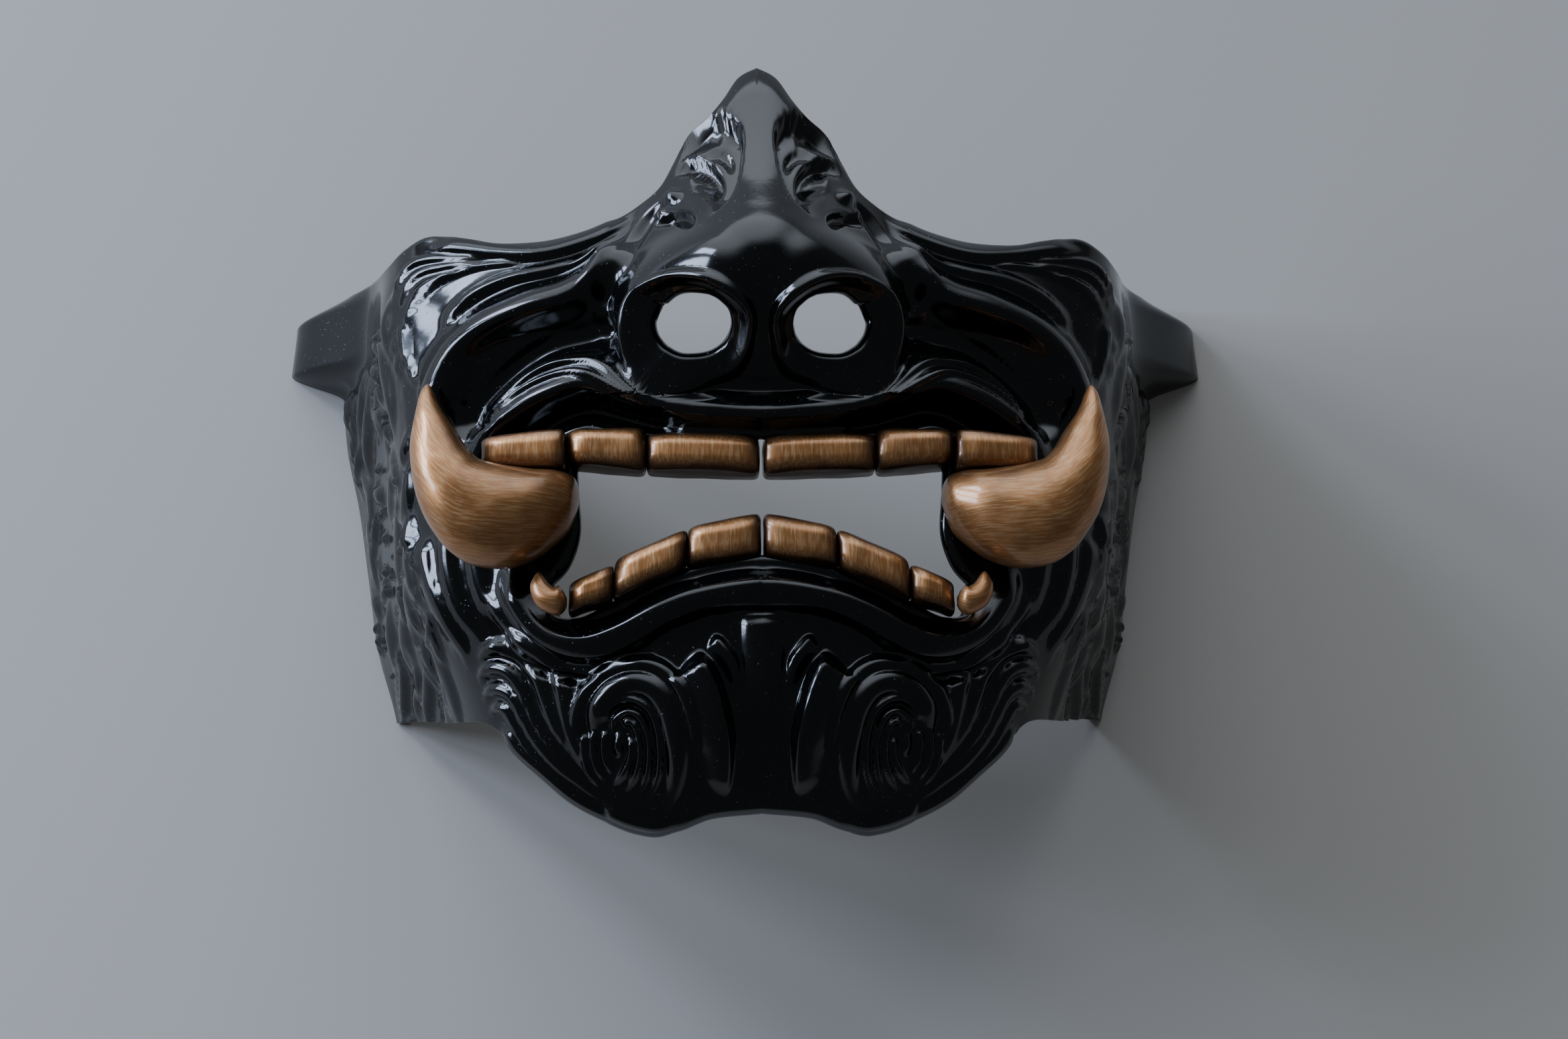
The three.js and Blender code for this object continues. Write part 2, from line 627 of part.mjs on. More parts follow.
for (const tooth of TEETH) addGoldPair(tooth[0], toothGeometry(tooth));
addGoldPair('tusk', tuskGeometry(0));
addGoldPair('upper_canine', lumpGeometry(CANINE, ...CANINE_FACETS), toSolid(tuskGeometry(FIT_GAP)));
addGoldPair('lower_tooth_hook', lumpGeometry(HOOK, ...HOOK_FACETS));

export default guard;
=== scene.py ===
# %% [markdown]
# # A samurai face guard
#
# A face guard covers the lower half of the face, from the bridge of the nose to the chin, and is
# made to frighten: flared nostrils, folded cheeks, a curled beard, bared teeth and two tusks. This
# one is a single cast wall in gloss black lacquer, with its teeth and tusks painted antique gold.
# It lies on its back rim and looks straight up. The face looks along +Z, and +Y runs up the face.

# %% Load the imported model
import math

import bmesh
import bpy
import numpy as np
from mathutils import Matrix, Vector, noise


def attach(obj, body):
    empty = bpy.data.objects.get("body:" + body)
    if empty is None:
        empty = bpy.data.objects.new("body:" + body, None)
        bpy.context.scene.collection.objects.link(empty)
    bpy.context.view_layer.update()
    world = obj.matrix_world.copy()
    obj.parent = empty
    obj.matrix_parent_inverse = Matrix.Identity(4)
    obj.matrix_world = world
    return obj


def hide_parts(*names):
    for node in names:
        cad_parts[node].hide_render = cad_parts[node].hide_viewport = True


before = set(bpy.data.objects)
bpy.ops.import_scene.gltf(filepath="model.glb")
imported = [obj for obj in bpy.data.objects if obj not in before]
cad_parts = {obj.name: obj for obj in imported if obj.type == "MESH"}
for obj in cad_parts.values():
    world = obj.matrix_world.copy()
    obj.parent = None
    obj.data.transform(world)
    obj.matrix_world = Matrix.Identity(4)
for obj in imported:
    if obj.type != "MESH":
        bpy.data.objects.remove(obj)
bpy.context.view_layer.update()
MM = 0.001

# %% [markdown]
# ## The camera
#
# The eye hangs above the chin and looks down at the face, a little off square. The place of the
# eye is given along the camera's own three axes, so one matrix gives both its turn and its place.

# %% Place the camera
LENS = 60
SENSOR = 36
FACE_CENTRE = Vector((0, -13.5, 80)) * MM
EYE = Vector((4.3, -5.0, 505)) * MM
TILT, TURN, ROLL = (math.radians(a) for a in (13, -2.5, -0.6))


def place_camera():
    turn = Matrix.Rotation(TURN, 3, "Y") @ Matrix.Rotation(TILT, 3, "X")
    turn = turn @ Matrix.Rotation(ROLL, 3, "Z")
    lens = bpy.data.cameras.new("camera")
    lens.lens, lens.sensor_width = LENS, SENSOR
    camera = bpy.data.objects.new("camera", lens)
    camera.matrix_world = Matrix.Translation(FACE_CENTRE + turn @ EYE) @ turn.to_4x4()
    bpy.context.scene.collection.objects.link(camera)
    bpy.context.scene.camera = camera
    return camera


print("camera at", [round(v, 3) for v in place_camera().matrix_world.translation])

# %% [markdown]
# ## The form of the face
#
# The bare face is a loft: a few cross-sections, one for each height, with smooth curves through
# them. A place on it is given by its distance from the middle, measured along the wall, and by
# its height. So the side walls unroll into the same plan as the front, and one grid serves both.

# %% Smooth curves through tables
def smooth_step(start, end, value):
    t = np.clip((value - start) / (end - start), 0, 1)
    return t * t * (3 - 2 * t)


def bell(q):
    """1 at the middle and 0 from q = 1 on, smooth at both."""
    return np.maximum(0, 1 - q * q) ** 2


def curve_through(knots, values, at):
    """A smooth curve through values at knots. Each of them may be a number or an array like at."""
    last = len(knots) - 1
    result = values[0] + 0 * at
    for i in range(last):
        span = knots[i + 1] - knots[i]
        t = np.clip((at - knots[i]) / span, 0, 1)
        before, after = max(i - 1, 0), min(i + 2, last)
        slope_in = (values[i + 1] - values[before]) / (knots[i + 1] - knots[before])
        slope_out = (values[after] - values[i]) / (knots[after] - knots[i])
        piece = (2 * t**3 - 3 * t**2 + 1) * values[i] + (3 * t**2 - 2 * t**3) * values[i + 1]
        piece += span * ((t**3 - 2 * t**2 + t) * slope_in + (t**3 - t**2) * slope_out)
        result = np.where(at >= knots[i], piece, result) if i else piece
    return result


def read_table(rows, at):
    """Reads every column of a table after its first, at places along the first."""
    rows = np.array(rows, float)
    return [curve_through(rows[:, 0], rows[:, c], at) for c in range(1, rows.shape[1])]


def line_through(points, count):
    """Evenly spaced points on a smooth curve through a few points of two or more columns."""
    points = np.array(points, float)
    steps = np.linspace(0, len(points) - 1, 24 * len(points))
    knots = list(range(len(points)))
    dense = np.stack([curve_through(knots, points[:, c], steps) for c in range(points.shape[1])], 1)
    run = np.concatenate([[0], np.cumsum(np.linalg.norm(np.diff(dense[:, :2], axis=0), axis=1))])
    even = np.linspace(0, run[-1], count)
    return np.stack([np.interp(even, run, dense[:, c]) for c in range(points.shape[1])], 1)


# %% The loft, in millimetres
WALL = 3.2
SIDE_RUN = 56
SECTIONS = [
    # height, z at the middle, a third, two thirds, the corner; x of corner, side's middle, rim
    (-80, 62, 61, 56, 46, 53, 63, 75),
    (-66, 73, 73, 66, 52, 53, 63, 75),
    (-55, 79, 78, 71, 56, 53, 64, 76),
    (-44, 81, 79, 72, 57, 57, 67, 78),
    (-30, 82, 79, 72, 58, 64, 73, 82),
    (-14, 82, 79, 73, 58, 67, 76, 84.5),
    (2, 83, 80, 73, 58, 69, 78, 87),
    (16, 83, 79, 72, 57, 71, 80, 90),
    (30, 82, 77, 70, 55, 74, 82, 91),
    (44, 79, 73, 66, 54, 72, 82, 90),
    (60, 75, 68, 60, 52, 72, 82, 90),
    (78, 70, 64, 58, 50, 72, 82, 90),
]
TAB_FLARE = 12
TAB_LOW, TAB_HIGH = 27, 51
NOSE_RIDGE = [
    # height on the face, rise above the cheeks, half width
    (6, 0, 18), (10, 4, 18), (15, 10, 17), (22, 16, 17), (29, 18.8, 17), (34, 18.6, 16),
    (40, 15.8, 14.8), (48, 11.8, 13.4), (58, 7.8, 12), (70, 4, 12), (78, 2, 12),
]
WING_CENTRE, WING_RISE = (15.5, 20.5), 9.5
WING_ACROSS, WING_UP, WING_DOWN = 16, 20, 15
WING_SHARP_UP, WING_SHARP_DOWN = 2.4, 1.9


def rim_reach(y):
    return read_table(SECTIONS, y)[4] + SIDE_RUN


def bare_face(along, y):
    z_mid, z_third, z_two_thirds, z_corner, x_corner, x_side, x_rim = read_table(SECTIONS, y)
    knots = [-x_corner / 3, 0 * y, x_corner / 3, x_corner * 2 / 3, x_corner,
             x_corner + SIDE_RUN / 2, x_corner + SIDE_RUN, x_corner + 1.5 * SIDE_RUN]
    across = knots[:5] + [x_side, x_rim, 2 * x_rim - x_side]
    height = [z_third, z_mid, z_third, z_two_thirds, z_corner, z_corner / 2, 0 * y, -z_corner / 2]
    to_rim = (along - x_corner) / SIDE_RUN
    tab = smooth_step(TAB_LOW, TAB_LOW + 6, y) * (1 - smooth_step(TAB_HIGH - 7, TAB_HIGH, y))
    x = curve_through(knots, across, along) + TAB_FLARE * smooth_step(0.55, 1, to_rim) * tab
    return np.stack([x, y, curve_through(knots, height, along)], -1)


def nose_rise(x, y):
    rise, half_width = read_table(NOSE_RIDGE, y)
    bridge = np.where(y < NOSE_RIDGE[0][0], 0, rise * bell(x / (2.1 * half_width)))
    from_wing_y = y - WING_CENTRE[1]
    up = from_wing_y / np.where(from_wing_y > 0, WING_UP, WING_DOWN)
    sharp = WING_SHARP_DOWN + (WING_SHARP_UP - WING_SHARP_DOWN) * smooth_step(-8, 8, from_wing_y)
    wing = WING_RISE * bell(np.hypot((x - WING_CENTRE[0]) / WING_ACROSS, up) ** sharp)
    return np.hypot(bridge, wing)


# %% [markdown]
# ## The plan of the wall
#
# The wall is one grid of squares with the mouth and the nostrils left out. To make its lines run
# along those edges, the edges are pinned to their outlines and every other crossing is moved to
# the middle of its neighbours, over and over. That is quick on a coarse grid, so the grid is
# settled coarse first and then made finer, with its edges pinned again each time.

# %% Outlines that the grid is pinned to
HALF_CELLS, ROW_CELLS = 20, 28
EVEN, COARSE = 8, 2
# Each square of the plan is cut this often for the outer skin: finest under the mouth.
COLUMN_CUTS = [11] * 8 + [6] * 12
ROW_CUTS = [12] * 9 + [6] * 5 + [8] * 14
MOUTH_COLUMNS, MOUTH_ROWS = 8, (9, 14)
NOSTRIL_COLUMNS, NOSTRIL_ROWS = (2, 5), (16, 19)

TOP_EDGE = [
    (0, 77.5), (4, 74.8), (7, 69.6), (10, 65.6), (14.3, 61.8), (17, 56.2), (19.6, 51.2), (24, 47.6),
    (29, 44.7), (35, 42.3), (43, 40.9), (52, 41.2), (58, 43.4), (66, 45.8), (73, 44.6),
    (82, 43.5), (100, 46), (130, 50),
]
BOTTOM_EDGE = [
    (0, -73), (10, -74), (16, -76), (22, -76.8), (29, -74.4), (36, -70), (43, -63.4), (50, -56.8),
    (55, -54.2), (66, -52.4), (82, -50), (109, -46),
]
MOUTH_TOP = [(0, -2), (12, -2.2), (24, -1.2), (32, -1), (37.4, -3.4)]
MOUTH_SIDE = [(37.4, -3.4), (37, -12), (36.6, -20), (38.6, -26), (42, -30)]
MOUTH_BOTTOM = [(0, -26.8), (7, -27.3), (14, -28.9), (22, -31.6), (29, -35), (35, -37.4),
                (40, -36.4), (42, -30)]
# The nostril is a drop that points down and inward. It starts at its upper outer corner.
NOSTRIL = [
    (22.6, 22.4), (17.8, 24), (13, 22.8), (9.9, 21.1), (7.1, 18.9), (5.1, 16.9), (4.7, 14.5),
    (6.3, 12.1), (9.1, 10.5), (12.8, 9.8), (17, 10.1), (20.8, 11.9), (23.2, 15), (23.9, 19),
    (22.6, 22.4),
]


def ring_cells(columns, rows, scale):
    """Crossings round a rectangle of cells, anticlockwise from its upper right corner."""
    (left, right), (low, high) = (c * scale for c in columns), (r * scale for r in rows)
    top = [(i, high) for i in range(right, left, -1)]
    side = [(left, j) for j in range(high, low, -1)]
    bottom = [(i, low) for i in range(left, right)]
    return top + side + bottom + [(right, j) for j in range(low, high)]


def pin_edges(plan, pinned, scale):
    """Puts the crossings on the wall's edges and round its openings on their outlines."""
    half, rows = HALF_CELLS * scale, ROW_CELLS * scale

    def pin(i, j, spot):
        plan[i, j] = spot
        pinned[i, j] = True

    for edge, j in ((TOP_EDGE, rows), (BOTTOM_EDGE, 0)):
        share = np.arange(half + 1) / half
        reach = share * (0.62 + 0.38 * share) * rim_reach(np.array(float(edge[-1][1])))
        pin(slice(None), j, np.stack([reach, read_table(edge, reach)[0]], 1))
    low, high = BOTTOM_EDGE[-1][1], TOP_EDGE[-1][1]
    rim = low + (high - low) * np.arange(rows + 1) / rows
    pin(half, slice(None), np.stack([rim_reach(rim), rim], 1))
    columns, (mouth_low, mouth_high) = MOUTH_COLUMNS * scale, (r * scale for r in MOUTH_ROWS)
    side = line_through(MOUTH_SIDE, mouth_high - mouth_low + 1)[::-1]
    pin(columns, slice(mouth_low, mouth_high + 1), side)
    pin(slice(columns + 1), mouth_high, line_through(MOUTH_TOP, columns + 1))
    pin(slice(columns + 1), mouth_low, line_through(MOUTH_BOTTOM, columns + 1))
    ring = ring_cells(NOSTRIL_COLUMNS, NOSTRIL_ROWS, scale)
    for (i, j), spot in zip(ring, line_through(NOSTRIL, len(ring) + 1)):
        pin(i, j, spot)


def settle(plan, pinned, rounds, stiff):
    """Moves each free crossing to the middle of its neighbours. Column 0 is the mirror line.

    With stiff set, a neighbour on a crowded line weighs less, so the grid can't fold over itself
    where an edge turns inward, as it does between the nose and the cheek."""
    for _ in range(rounds):
        wide = np.concatenate([plan[1:2] * (-1, 1), plan, plan[-1:]])
        wide = np.concatenate([wide[:, :1], wide, wide[:, -1:]], 1)
        right, left = wide[2:, 1:-1], wide[:-2, 1:-1]
        up, down = wide[1:-1, 2:], wide[1:-1, :-2]
        middle = (right + left + up + down) / 4
        if stiff:
            across, upward = (right - left) / 2, (up - down) / 2
            alpha, gamma = (np.sum(w * w, -1, keepdims=True) for w in (upward, across))
            twist = wide[2:, 2:] - wide[2:, :-2] - wide[:-2, 2:] + wide[:-2, :-2]
            twist = twist * np.sum(across * upward, -1, keepdims=True) / 2
            middle = (alpha * (right + left) + gamma * (up + down) - twist) / (2 * (alpha + gamma))
        plan[~pinned] = middle[~pinned]
        plan[0, :, 0] = 0


def wall_plan(scale):
    """Distance along the wall and height, for each crossing of the right half's grid."""
    level, rounds = 1, 600
    columns, rows = np.meshgrid(np.linspace(0, 120, HALF_CELLS + 1),
                                np.linspace(-60, 50, ROW_CELLS + 1), indexing="ij")
    plan = np.stack([columns, rows], -1)
    while True:
        pinned = np.zeros(plan.shape[:2], bool)
        pin_edges(plan, pinned, level)
        settle(plan, pinned, rounds, stiff=False) if level == 1 else None
        settle(plan, pinned, rounds, stiff=True)
        if level == scale:
            return plan
        level, rounds = level * 2, rounds // 2
        for axis in (0, 1):
            between = (plan + np.roll(plan, -1, axis)) / 2
            plan = np.delete(np.repeat(plan, 2, axis), -1, axis)
            spots = [slice(None)] * 3
            spots[axis] = slice(1, None, 2)
            keep = [slice(None)] * 3
            keep[axis] = slice(0, -1)
            plan[tuple(spots)] = between[tuple(keep)]


def marks(cuts):
    """Where the lines of a cut grid lie, counted in whole squares of the plan."""
    return np.array([c + k / n for c, n in enumerate(cuts) for k in range(n)] + [len(cuts)])


def recut(plan, columns, rows):
    """The plan with its lines moved to these marks."""
    for axis, places in ((0, columns), (1, rows)):
        places = places * EVEN
        low = np.minimum(places.astype(int), plan.shape[axis] - 2)
        share = (places - low).reshape((-1, 1, 1) if axis == 0 else (1, -1, 1))
        plan = np.take(plan, low, axis) * (1 - share) + np.take(plan, low + 1, axis) * share
    return plan


even_plan = wall_plan(EVEN)
fine_columns, fine_rows = marks(COLUMN_CUTS), marks(ROW_CUTS)
coarse_columns, coarse_rows = marks([COARSE] * HALF_CELLS), marks([COARSE] * ROW_CELLS)
fine_plan = recut(even_plan, fine_columns, fine_rows)
coarse_plan = recut(even_plan, coarse_columns, coarse_rows)
print("fine plan:", fine_plan.shape, "coarse plan:", coarse_plan.shape)

# %% [markdown]
# ## Folds, lips and curls
#
# A sculptor builds a face like this from rolls of clay laid along lines and pressed in with a
# thumb. Each fold here is such a roll: a line of a few points, a height, and how far it spreads
# to its left and to its right. A short spread makes a steep side. Negative heights are grooves.

# %% One roll of clay
def beside_line(plan, points, reach):
    """Signed distance to a line (left of it is positive), share of its length, and its weight.

    The weight is the points' third column, if they have one."""
    line = line_through(points, max(12, 6 * len(points)))
    low, high = line[:, :2].min(0) - reach, line[:, :2].max(0) + reach
    near = np.all((plan > low) & (plan < high), axis=-1)
    spots = plan[near]
    best, side, share, weight = (np.full(len(spots), v) for v in (np.inf, 1.0, 0.0, 1.0))
    for k, (start, change) in enumerate(zip(line, np.diff(line, axis=0))):
        way = change[:2]
        t = np.clip((spots - start[:2]) @ way / (way @ way), 0, 1)
        gap = spots - start[:2] - t[:, None] * way
        far = np.hypot(gap[:, 0], gap[:, 1])
        closer = far < best
        best = np.where(closer, far, best)
        turn = way[0] * gap[:, 1] - way[1] * gap[:, 0]
        side = np.where(closer, np.where(turn >= 0, 1.0, -1.0), side)
        share = np.where(closer, (k + t) / (len(line) - 1), share)
        if len(start) > 2:
            weight = np.where(closer, start[2] + t * change[2], weight)
    return near, best * side, share, weight


def roll_height(plan, height, left, right, points, ends=(0.15, 0.15), round_top=False):
    """A roll that gets lower and narrower towards its ends, over these shares of its length."""
    near, beside, share, weight = beside_line(plan, points, max(left, right))
    fade = smooth_step(0, max(ends[0], 1e-3), share) * smooth_step(0, max(ends[1], 1e-3), 1 - share)
    fade = fade * weight
    q = np.abs(beside) / (np.where(beside > 0, left, right) * (0.4 + 0.6 * fade))
    profile = np.maximum(0, 1 - q * q) if round_top else bell(q)
    rise = np.zeros(plan.shape[:2])
    rise[near] = height * profile * fade
    return rise


# %% The folds of the nose, cheeks, lips and chin
FOLDS = [
    # height, spread left, spread right, line
    # The rolled upper edge, with a ledge under it.
    (1.5, 4.2, 1.5, [(25, 45.4), (29, 42.2), (35.1, 39.6), (43, 38), (51.2, 39.2), (59.6, 41.8),
                     (67, 43.6)]),
    (1.3, 3.2, 1.3, [(25.6, 43.6), (30, 38.6), (35, 35.4), (42, 33.8), (50, 33), (56, 30.6), (60, 26.4),
                     (62, 21)]),
    (0.6, 1.5, 0.9, [(47.1, 36.6), (55.3, 37.2), (63, 35.2), (67.2, 32.2), (69, 28.6)]),
    # Thin folds that nest in the cheek's corner.
    (0.9, 1.2, 1.2, [(74.6, 30), (74, 36.4), (71.4, 40), (66.5, 41), (60, 39.8), (54, 38.6)]),
    (0.8, 1.1, 1.1, [(72.6, 29), (71.6, 35), (68, 38), (62, 38.4), (55, 37.8)]),
    (0.7, 1.1, 1.1, [(70.6, 28), (69.2, 32.6), (66, 35.2), (60, 36.6)]),
    (0.9, 1.5, 1.5, [(72, 28.5), (71.4, 22), (69.4, 16.5), (66.5, 12.5)]),
    # The broad cheek fold and the hollow under it.
    (4.4, 7.5, 3.6, [(24, 41), (27.7, 35), (31.6, 30.5), (37.5, 26.8), (45.4, 25), (53.5, 22.2),
                     (58.6, 17.6), (61.6, 10.6), (62.6, 3)]),
    (-3.6, 5.5, 6.5, [(27, 22), (34, 20), (43, 18.2), (50, 13.8), (54.6, 7), (57, -1)]),
    (0.7, 1, 1.2, [(53, 17.2), (57.2, 14.4), (59.8, 10), (60.8, 3)]),
    (0.6, 0.9, 1.1, [(42, 21.6), (48, 18.8), (53.6, 14.4), (57, 9), (58.4, 3)]),
    # Moustache folds and the upper lip.
    (2.1, 3.2, 1.5, [(4, 4.8), (12, 5.4), (19.2, 6.6), (25, 9), (32.1, 13.2), (38.6, 14.2),
                     (45.2, 12.5), (50.5, 9.1), (54.5, 4.6), (56.6, -1)]),
    (1.5, 2.3, 1.2, [(18, 3.4), (24.3, 6), (32.1, 9.9), (37.3, 11), (42.5, 10.1), (47.8, 7.3),
                     (52.4, 2.8), (55, -2)]),
    # The recess over the teeth.
    (-3.4, 2.8, 4, [(14, -0.4), (22, 1), (28, 3), (34, 4.4), (40, 3), (46, -0.6), (51, -5)]),
    # The lower lip with its two creases.
    (4.4, 4, 7, [(-8, -33.2), (0, -32.2), (11.6, -33.9), (19.2, -36.4), (26.8, -40), (33, -41.4),
                 (39, -39.8), (43.5, -36), (47, -30), (48.5, -23)]),
    (-1.1, 1.4, 2.4, [(-8, -38.4), (0, -37.4), (9.1, -37.6), (16.7, -40), (23, -43.4), (29, -45.8),
                      (35.5, -45.4), (41, -42.4), (45.6, -37.4), (49.2, -31), (51.4, -24)]),
    (-1.1, 1.1, 2, [(30, -48), (34.4, -48.4), (39.6, -46.8), (45, -43.6), (49.6, -38.6), (53, -32)]),
    # The crease round the nose wing.
    (-1.2, 2, 2.2, [(17.9, 48.6), (21.2, 44.3), (24.8, 38.6), (28.6, 32.6), (30.4, 26.7),
                    (30.6, 20.8), (29.4, 15), (26, 10.2)]),
    # Two lobes beside the chin's middle, each steep on its inner side.
    (3.8, 8.4, 2.2, [(12.6, -43.6, 0.6), (10.8, -47.6, 0.95), (8.7, -53, 1), (7.2, -59, 0.9),
                     (6.8, -65, 0.55), (7.2, -72, 0.1)]),
    (1.9, 4, 1.2, [(9.6, -41, 0.6), (7, -44.2, 1), (5.3, -47, 0.8), (4.2, -52, 0.1)]),
]
CHIN_COLUMN = [(0, -37.4, 1), (0, -43, 1), (0, -50, 0.8), (0, -58, 0.05)]
NOSTRIL_ROLL = [
    (23.8, 24.8), (18.4, 26), (11.8, 24.6), (6.4, 21.6), (2.9, 18.4), (2.7, 14.6), (4.8, 10.8),
    (11.4, 8.4), (18.8, 8.6), (24, 11.2), (26.2, 16), (26.2, 21.2), (23.8, 24.8), (18.4, 26),
]
FUNNEL_DEPTH, FUNNEL_RUN = 2.4, 4
LIP_EDGE = [(-8, 1.2), (0, 0.9), (12.8, 2), (21.7, 3.8), (28.2, 6.1), (34, 8.2), (41.2, 6.5),
            (47.8, 3.1), (53.4, -1.4), (57, -8)]
# The hollow beside the nose bridge, from its top down, and the hooked folds that hang in it.
BRIDGE_SIDE = [(4.4, 63), (4.5, 56.4), (5.4, 49.6), (7.2, 43.4), (10.6, 38.2)]
BRIDGE_HOOKS = [
    # depth, spread above the hook, spread below it, line
    (-2.4, 1.5, 4.6, [(5, 59), (5.6, 62.4), (8.3, 63.6), (11.2, 62.4), (13.9, 60), (16.3, 56.4)]),
    (-1.1, 1, 2.6, [(6.9, 52), (7.2, 55.4), (8.9, 57), (10.9, 56.4), (12, 55)]),
    (-2.4, 1.4, 4.4, [(9.8, 44.6), (9.4, 48.2), (10, 51.5), (12, 54), (14.6, 54.3), (17, 52)]),
    (-2, 1.2, 3, [(13.6, 36.4), (14, 39.9), (15.9, 41.9), (18.5, 42.2), (21.4, 40.6)]),
]
BRIDGE_BALLS = [
    # middle along and up, radius, height
    (17.2, 47, 2.5, 1.8), (19.8, 44.4, 1.5, 0.8), (8.6, 54, 1.5, 0.5),
]


def face_relief(plan):
    relief = roll_height(plan, 1.7, 4.4, 4.4, CHIN_COLUMN, ends=(0, 0), round_top=True)
    for height, left, right, points in FOLDS:
        relief += roll_height(plan, height, left, right, points)
    relief += roll_height(plan, 4.6, 6.6, 3, LIP_EDGE, ends=(0, 0.2))
    relief += roll_height(plan, 1.6, 2, 1.7, NOSTRIL_ROLL, ends=(0, 0))
    near, inside, _, _ = beside_line(plan, NOSTRIL_ROLL, 2 * FUNNEL_RUN)
    relief[near] -= FUNNEL_DEPTH * smooth_step(0, FUNNEL_RUN, inside)
    relief += roll_height(plan, -3.2, 8.5, 1.5, BRIDGE_SIDE, ends=(0.1, 0.3))
    for depth, above, below, points in BRIDGE_HOOKS:
        relief += roll_height(plan, depth, above, below, points, ends=(0.3, 0.3))
    for along, y, radius, height in BRIDGE_BALLS:
        ball = np.hypot(plan[..., 0] - along, plan[..., 1] - y)
        relief += height * bell(ball / radius)
    return relief


# %% [markdown]
# The beard is combed from strands that lie side by side, so they are laid with the highest strand
# winning at each place, which leaves a sharp valley between neighbours. Each strand is a round
# rope that thins out to a point at both ends.

# %% The beard's strands and the two whirls
WHIRL = [
    # height, half width, line
    (1.9, 2, [(35.4, -63), (35.6, -57), (33.8, -51.4), (30, -47.8), (25, -46.4), (20.2, -47.2),
              (16.6, -50.4), (14.4, -55), (13.4, -61), (13.8, -67), (15.6, -72)]),
    (2.6, 3.1, [(32.2, -60), (31.4, -55.4), (29, -51.6), (25, -49.8), (20.8, -51), (17.8, -55),
                (16.4, -60.6), (16.3, -66), (17.4, -70.6), (20, -74)]),
    (1.7, 1, [(30.6, -59), (29.6, -55.2), (27, -53), (23.8, -53.2), (21.1, -55.4), (19.8, -59),
              (19.5, -63), (20, -67), (21.6, -70.4), (24, -72.8)]),
    (1.5, 0.95, [(28.9, -60), (28.2, -56.8), (26, -55.2), (23.6, -55.9), (22, -58.6), (21.4, -62),
                 (21.8, -65.6), (23.1, -69), (25.6, -71.6)]),
    (1.4, 0.9, [(26.4, -57.4), (24.8, -57.2), (23.6, -59.4), (23.2, -62.4), (23.7, -65.4), (25.2, -68.2),
                (27.6, -70.4)]),
    (1.3, 0.9, [(25.4, -59.6), (24.9, -62), (25.5, -64.6), (27.2, -67), (29.4, -68.8)]),
    (1.3, 0.9, [(29.9, -58), (30.2, -61), (29.8, -64), (28.4, -66.8)]),
    (1.4, 0.9, [(32, -57.6), (32.3, -61), (31.6, -64.8), (29.8, -68)]),
    (1.4, 0.9, [(33.8, -58), (34, -61.4), (33.2, -65.2), (31, -69)]),
    (1.3, 1.5, [(30.6, -71.6), (28.8, -73), (24.3, -74.8), (19.2, -75.6), (14.8, -74.6)]),
]
BEARD = [
    (1.5, 1.9, [(48.9, -36.5), (45.4, -40.4), (41.4, -43.8), (38.6, -48.6), (37.4, -54.4), (35.8, -60.4),
                (32.6, -65.6), (28.4, -69)]),
    (1.6, 1.7, [(53.6, -44.6), (53.4, -41.8), (50.4, -40.4), (46.4, -42.4), (43, -46.4), (41, -51.6),
                (39, -57), (36, -62.6), (31.6, -67.6)]),
    (1.5, 1.5, [(54.4, -48.2), (54, -45.2), (51.4, -44.2), (48, -45.6), (45.2, -49.6), (43, -54.6),
                (40, -60), (35.8, -65.4), (31, -69.8)]),
    (1.5, 1.5, [(54.2, -51.4), (53.2, -48.8), (50.4, -48.2), (47.4, -50), (45.2, -54), (42.4, -59.2),
                (38.4, -64.4), (33.4, -68.8), (28.6, -72)]),
    (1.4, 1.4, [(53, -54), (51.4, -51.8), (48.8, -52.2), (46.8, -55.4), (44.2, -60), (40.4, -64.8),
                (35.8, -68.8), (30.8, -72.2)]),
    (1.5, 1.6, [(51.4, -56.6), (48.4, -56.6), (46, -60), (42.6, -64), (38.4, -68), (33.6, -71.8),
                (28, -75)]),
    (1.1, 0.9, [(39.6, -46.4), (37, -50.4), (36, -55.4), (34.4, -60.4), (31.6, -64.8), (28.8, -67.6)]),
]
JOWL = [
    (1.2, 2.4, [(60.8, -16), (60.6, -24), (58.6, -31.4), (55.4, -36.4), (52.6, -40.6)]),
    (1.5, 2.8, [(67.8, -16), (66, -25), (62, -33), (59, -39), (57.4, -45)]),
    (1.1, 2.2, [(72.6, -12), (70, -21), (66, -29), (62.6, -36), (60.6, -43)]),
    (0.9, 2, [(55.4, -20), (54, -28), (51.4, -34), (47.6, -38.6)]),
]


def strand_relief(plan):
    relief = np.zeros(plan.shape[:2])
    for height, width, points in WHIRL + BEARD + JOWL:
        strand = roll_height(plan, height, width, width, points, ends=(0.15, 0.4), round_top=True)
        relief = np.maximum(relief, strand)
    for along, y, length in ((27.4, -61, 3), (25.6, -57, 1.3)):
        eye = np.hypot((plan[..., 0] - along) / 1.4, (plan[..., 1] - y) / length)
        relief = np.maximum(relief, 1.5 * bell(eye))
    return relief


# %% [markdown]
# Past the cheek's corner the side walls are covered in flame-like licks of hair. Nobody would
# place these by eye one by one: they are scattered with a fixed seed, long in height and narrow
# across, and the highest one wins.

# %% Licks of hair on the side walls
LICK_SEED = 11
LICK_KINDS = [
    # how many, length, half width, height, sway
    (26, (20, 34), (2.6, 4), (1, 1.7), 5),
    (70, (8, 18), (1.3, 2.4), (0.9, 1.8), 3),
    (40, (2.5, 5), (1.2, 2), (1, 2), 1),
]
LICK_ROOTS = ((68, 124), (-54, 32))


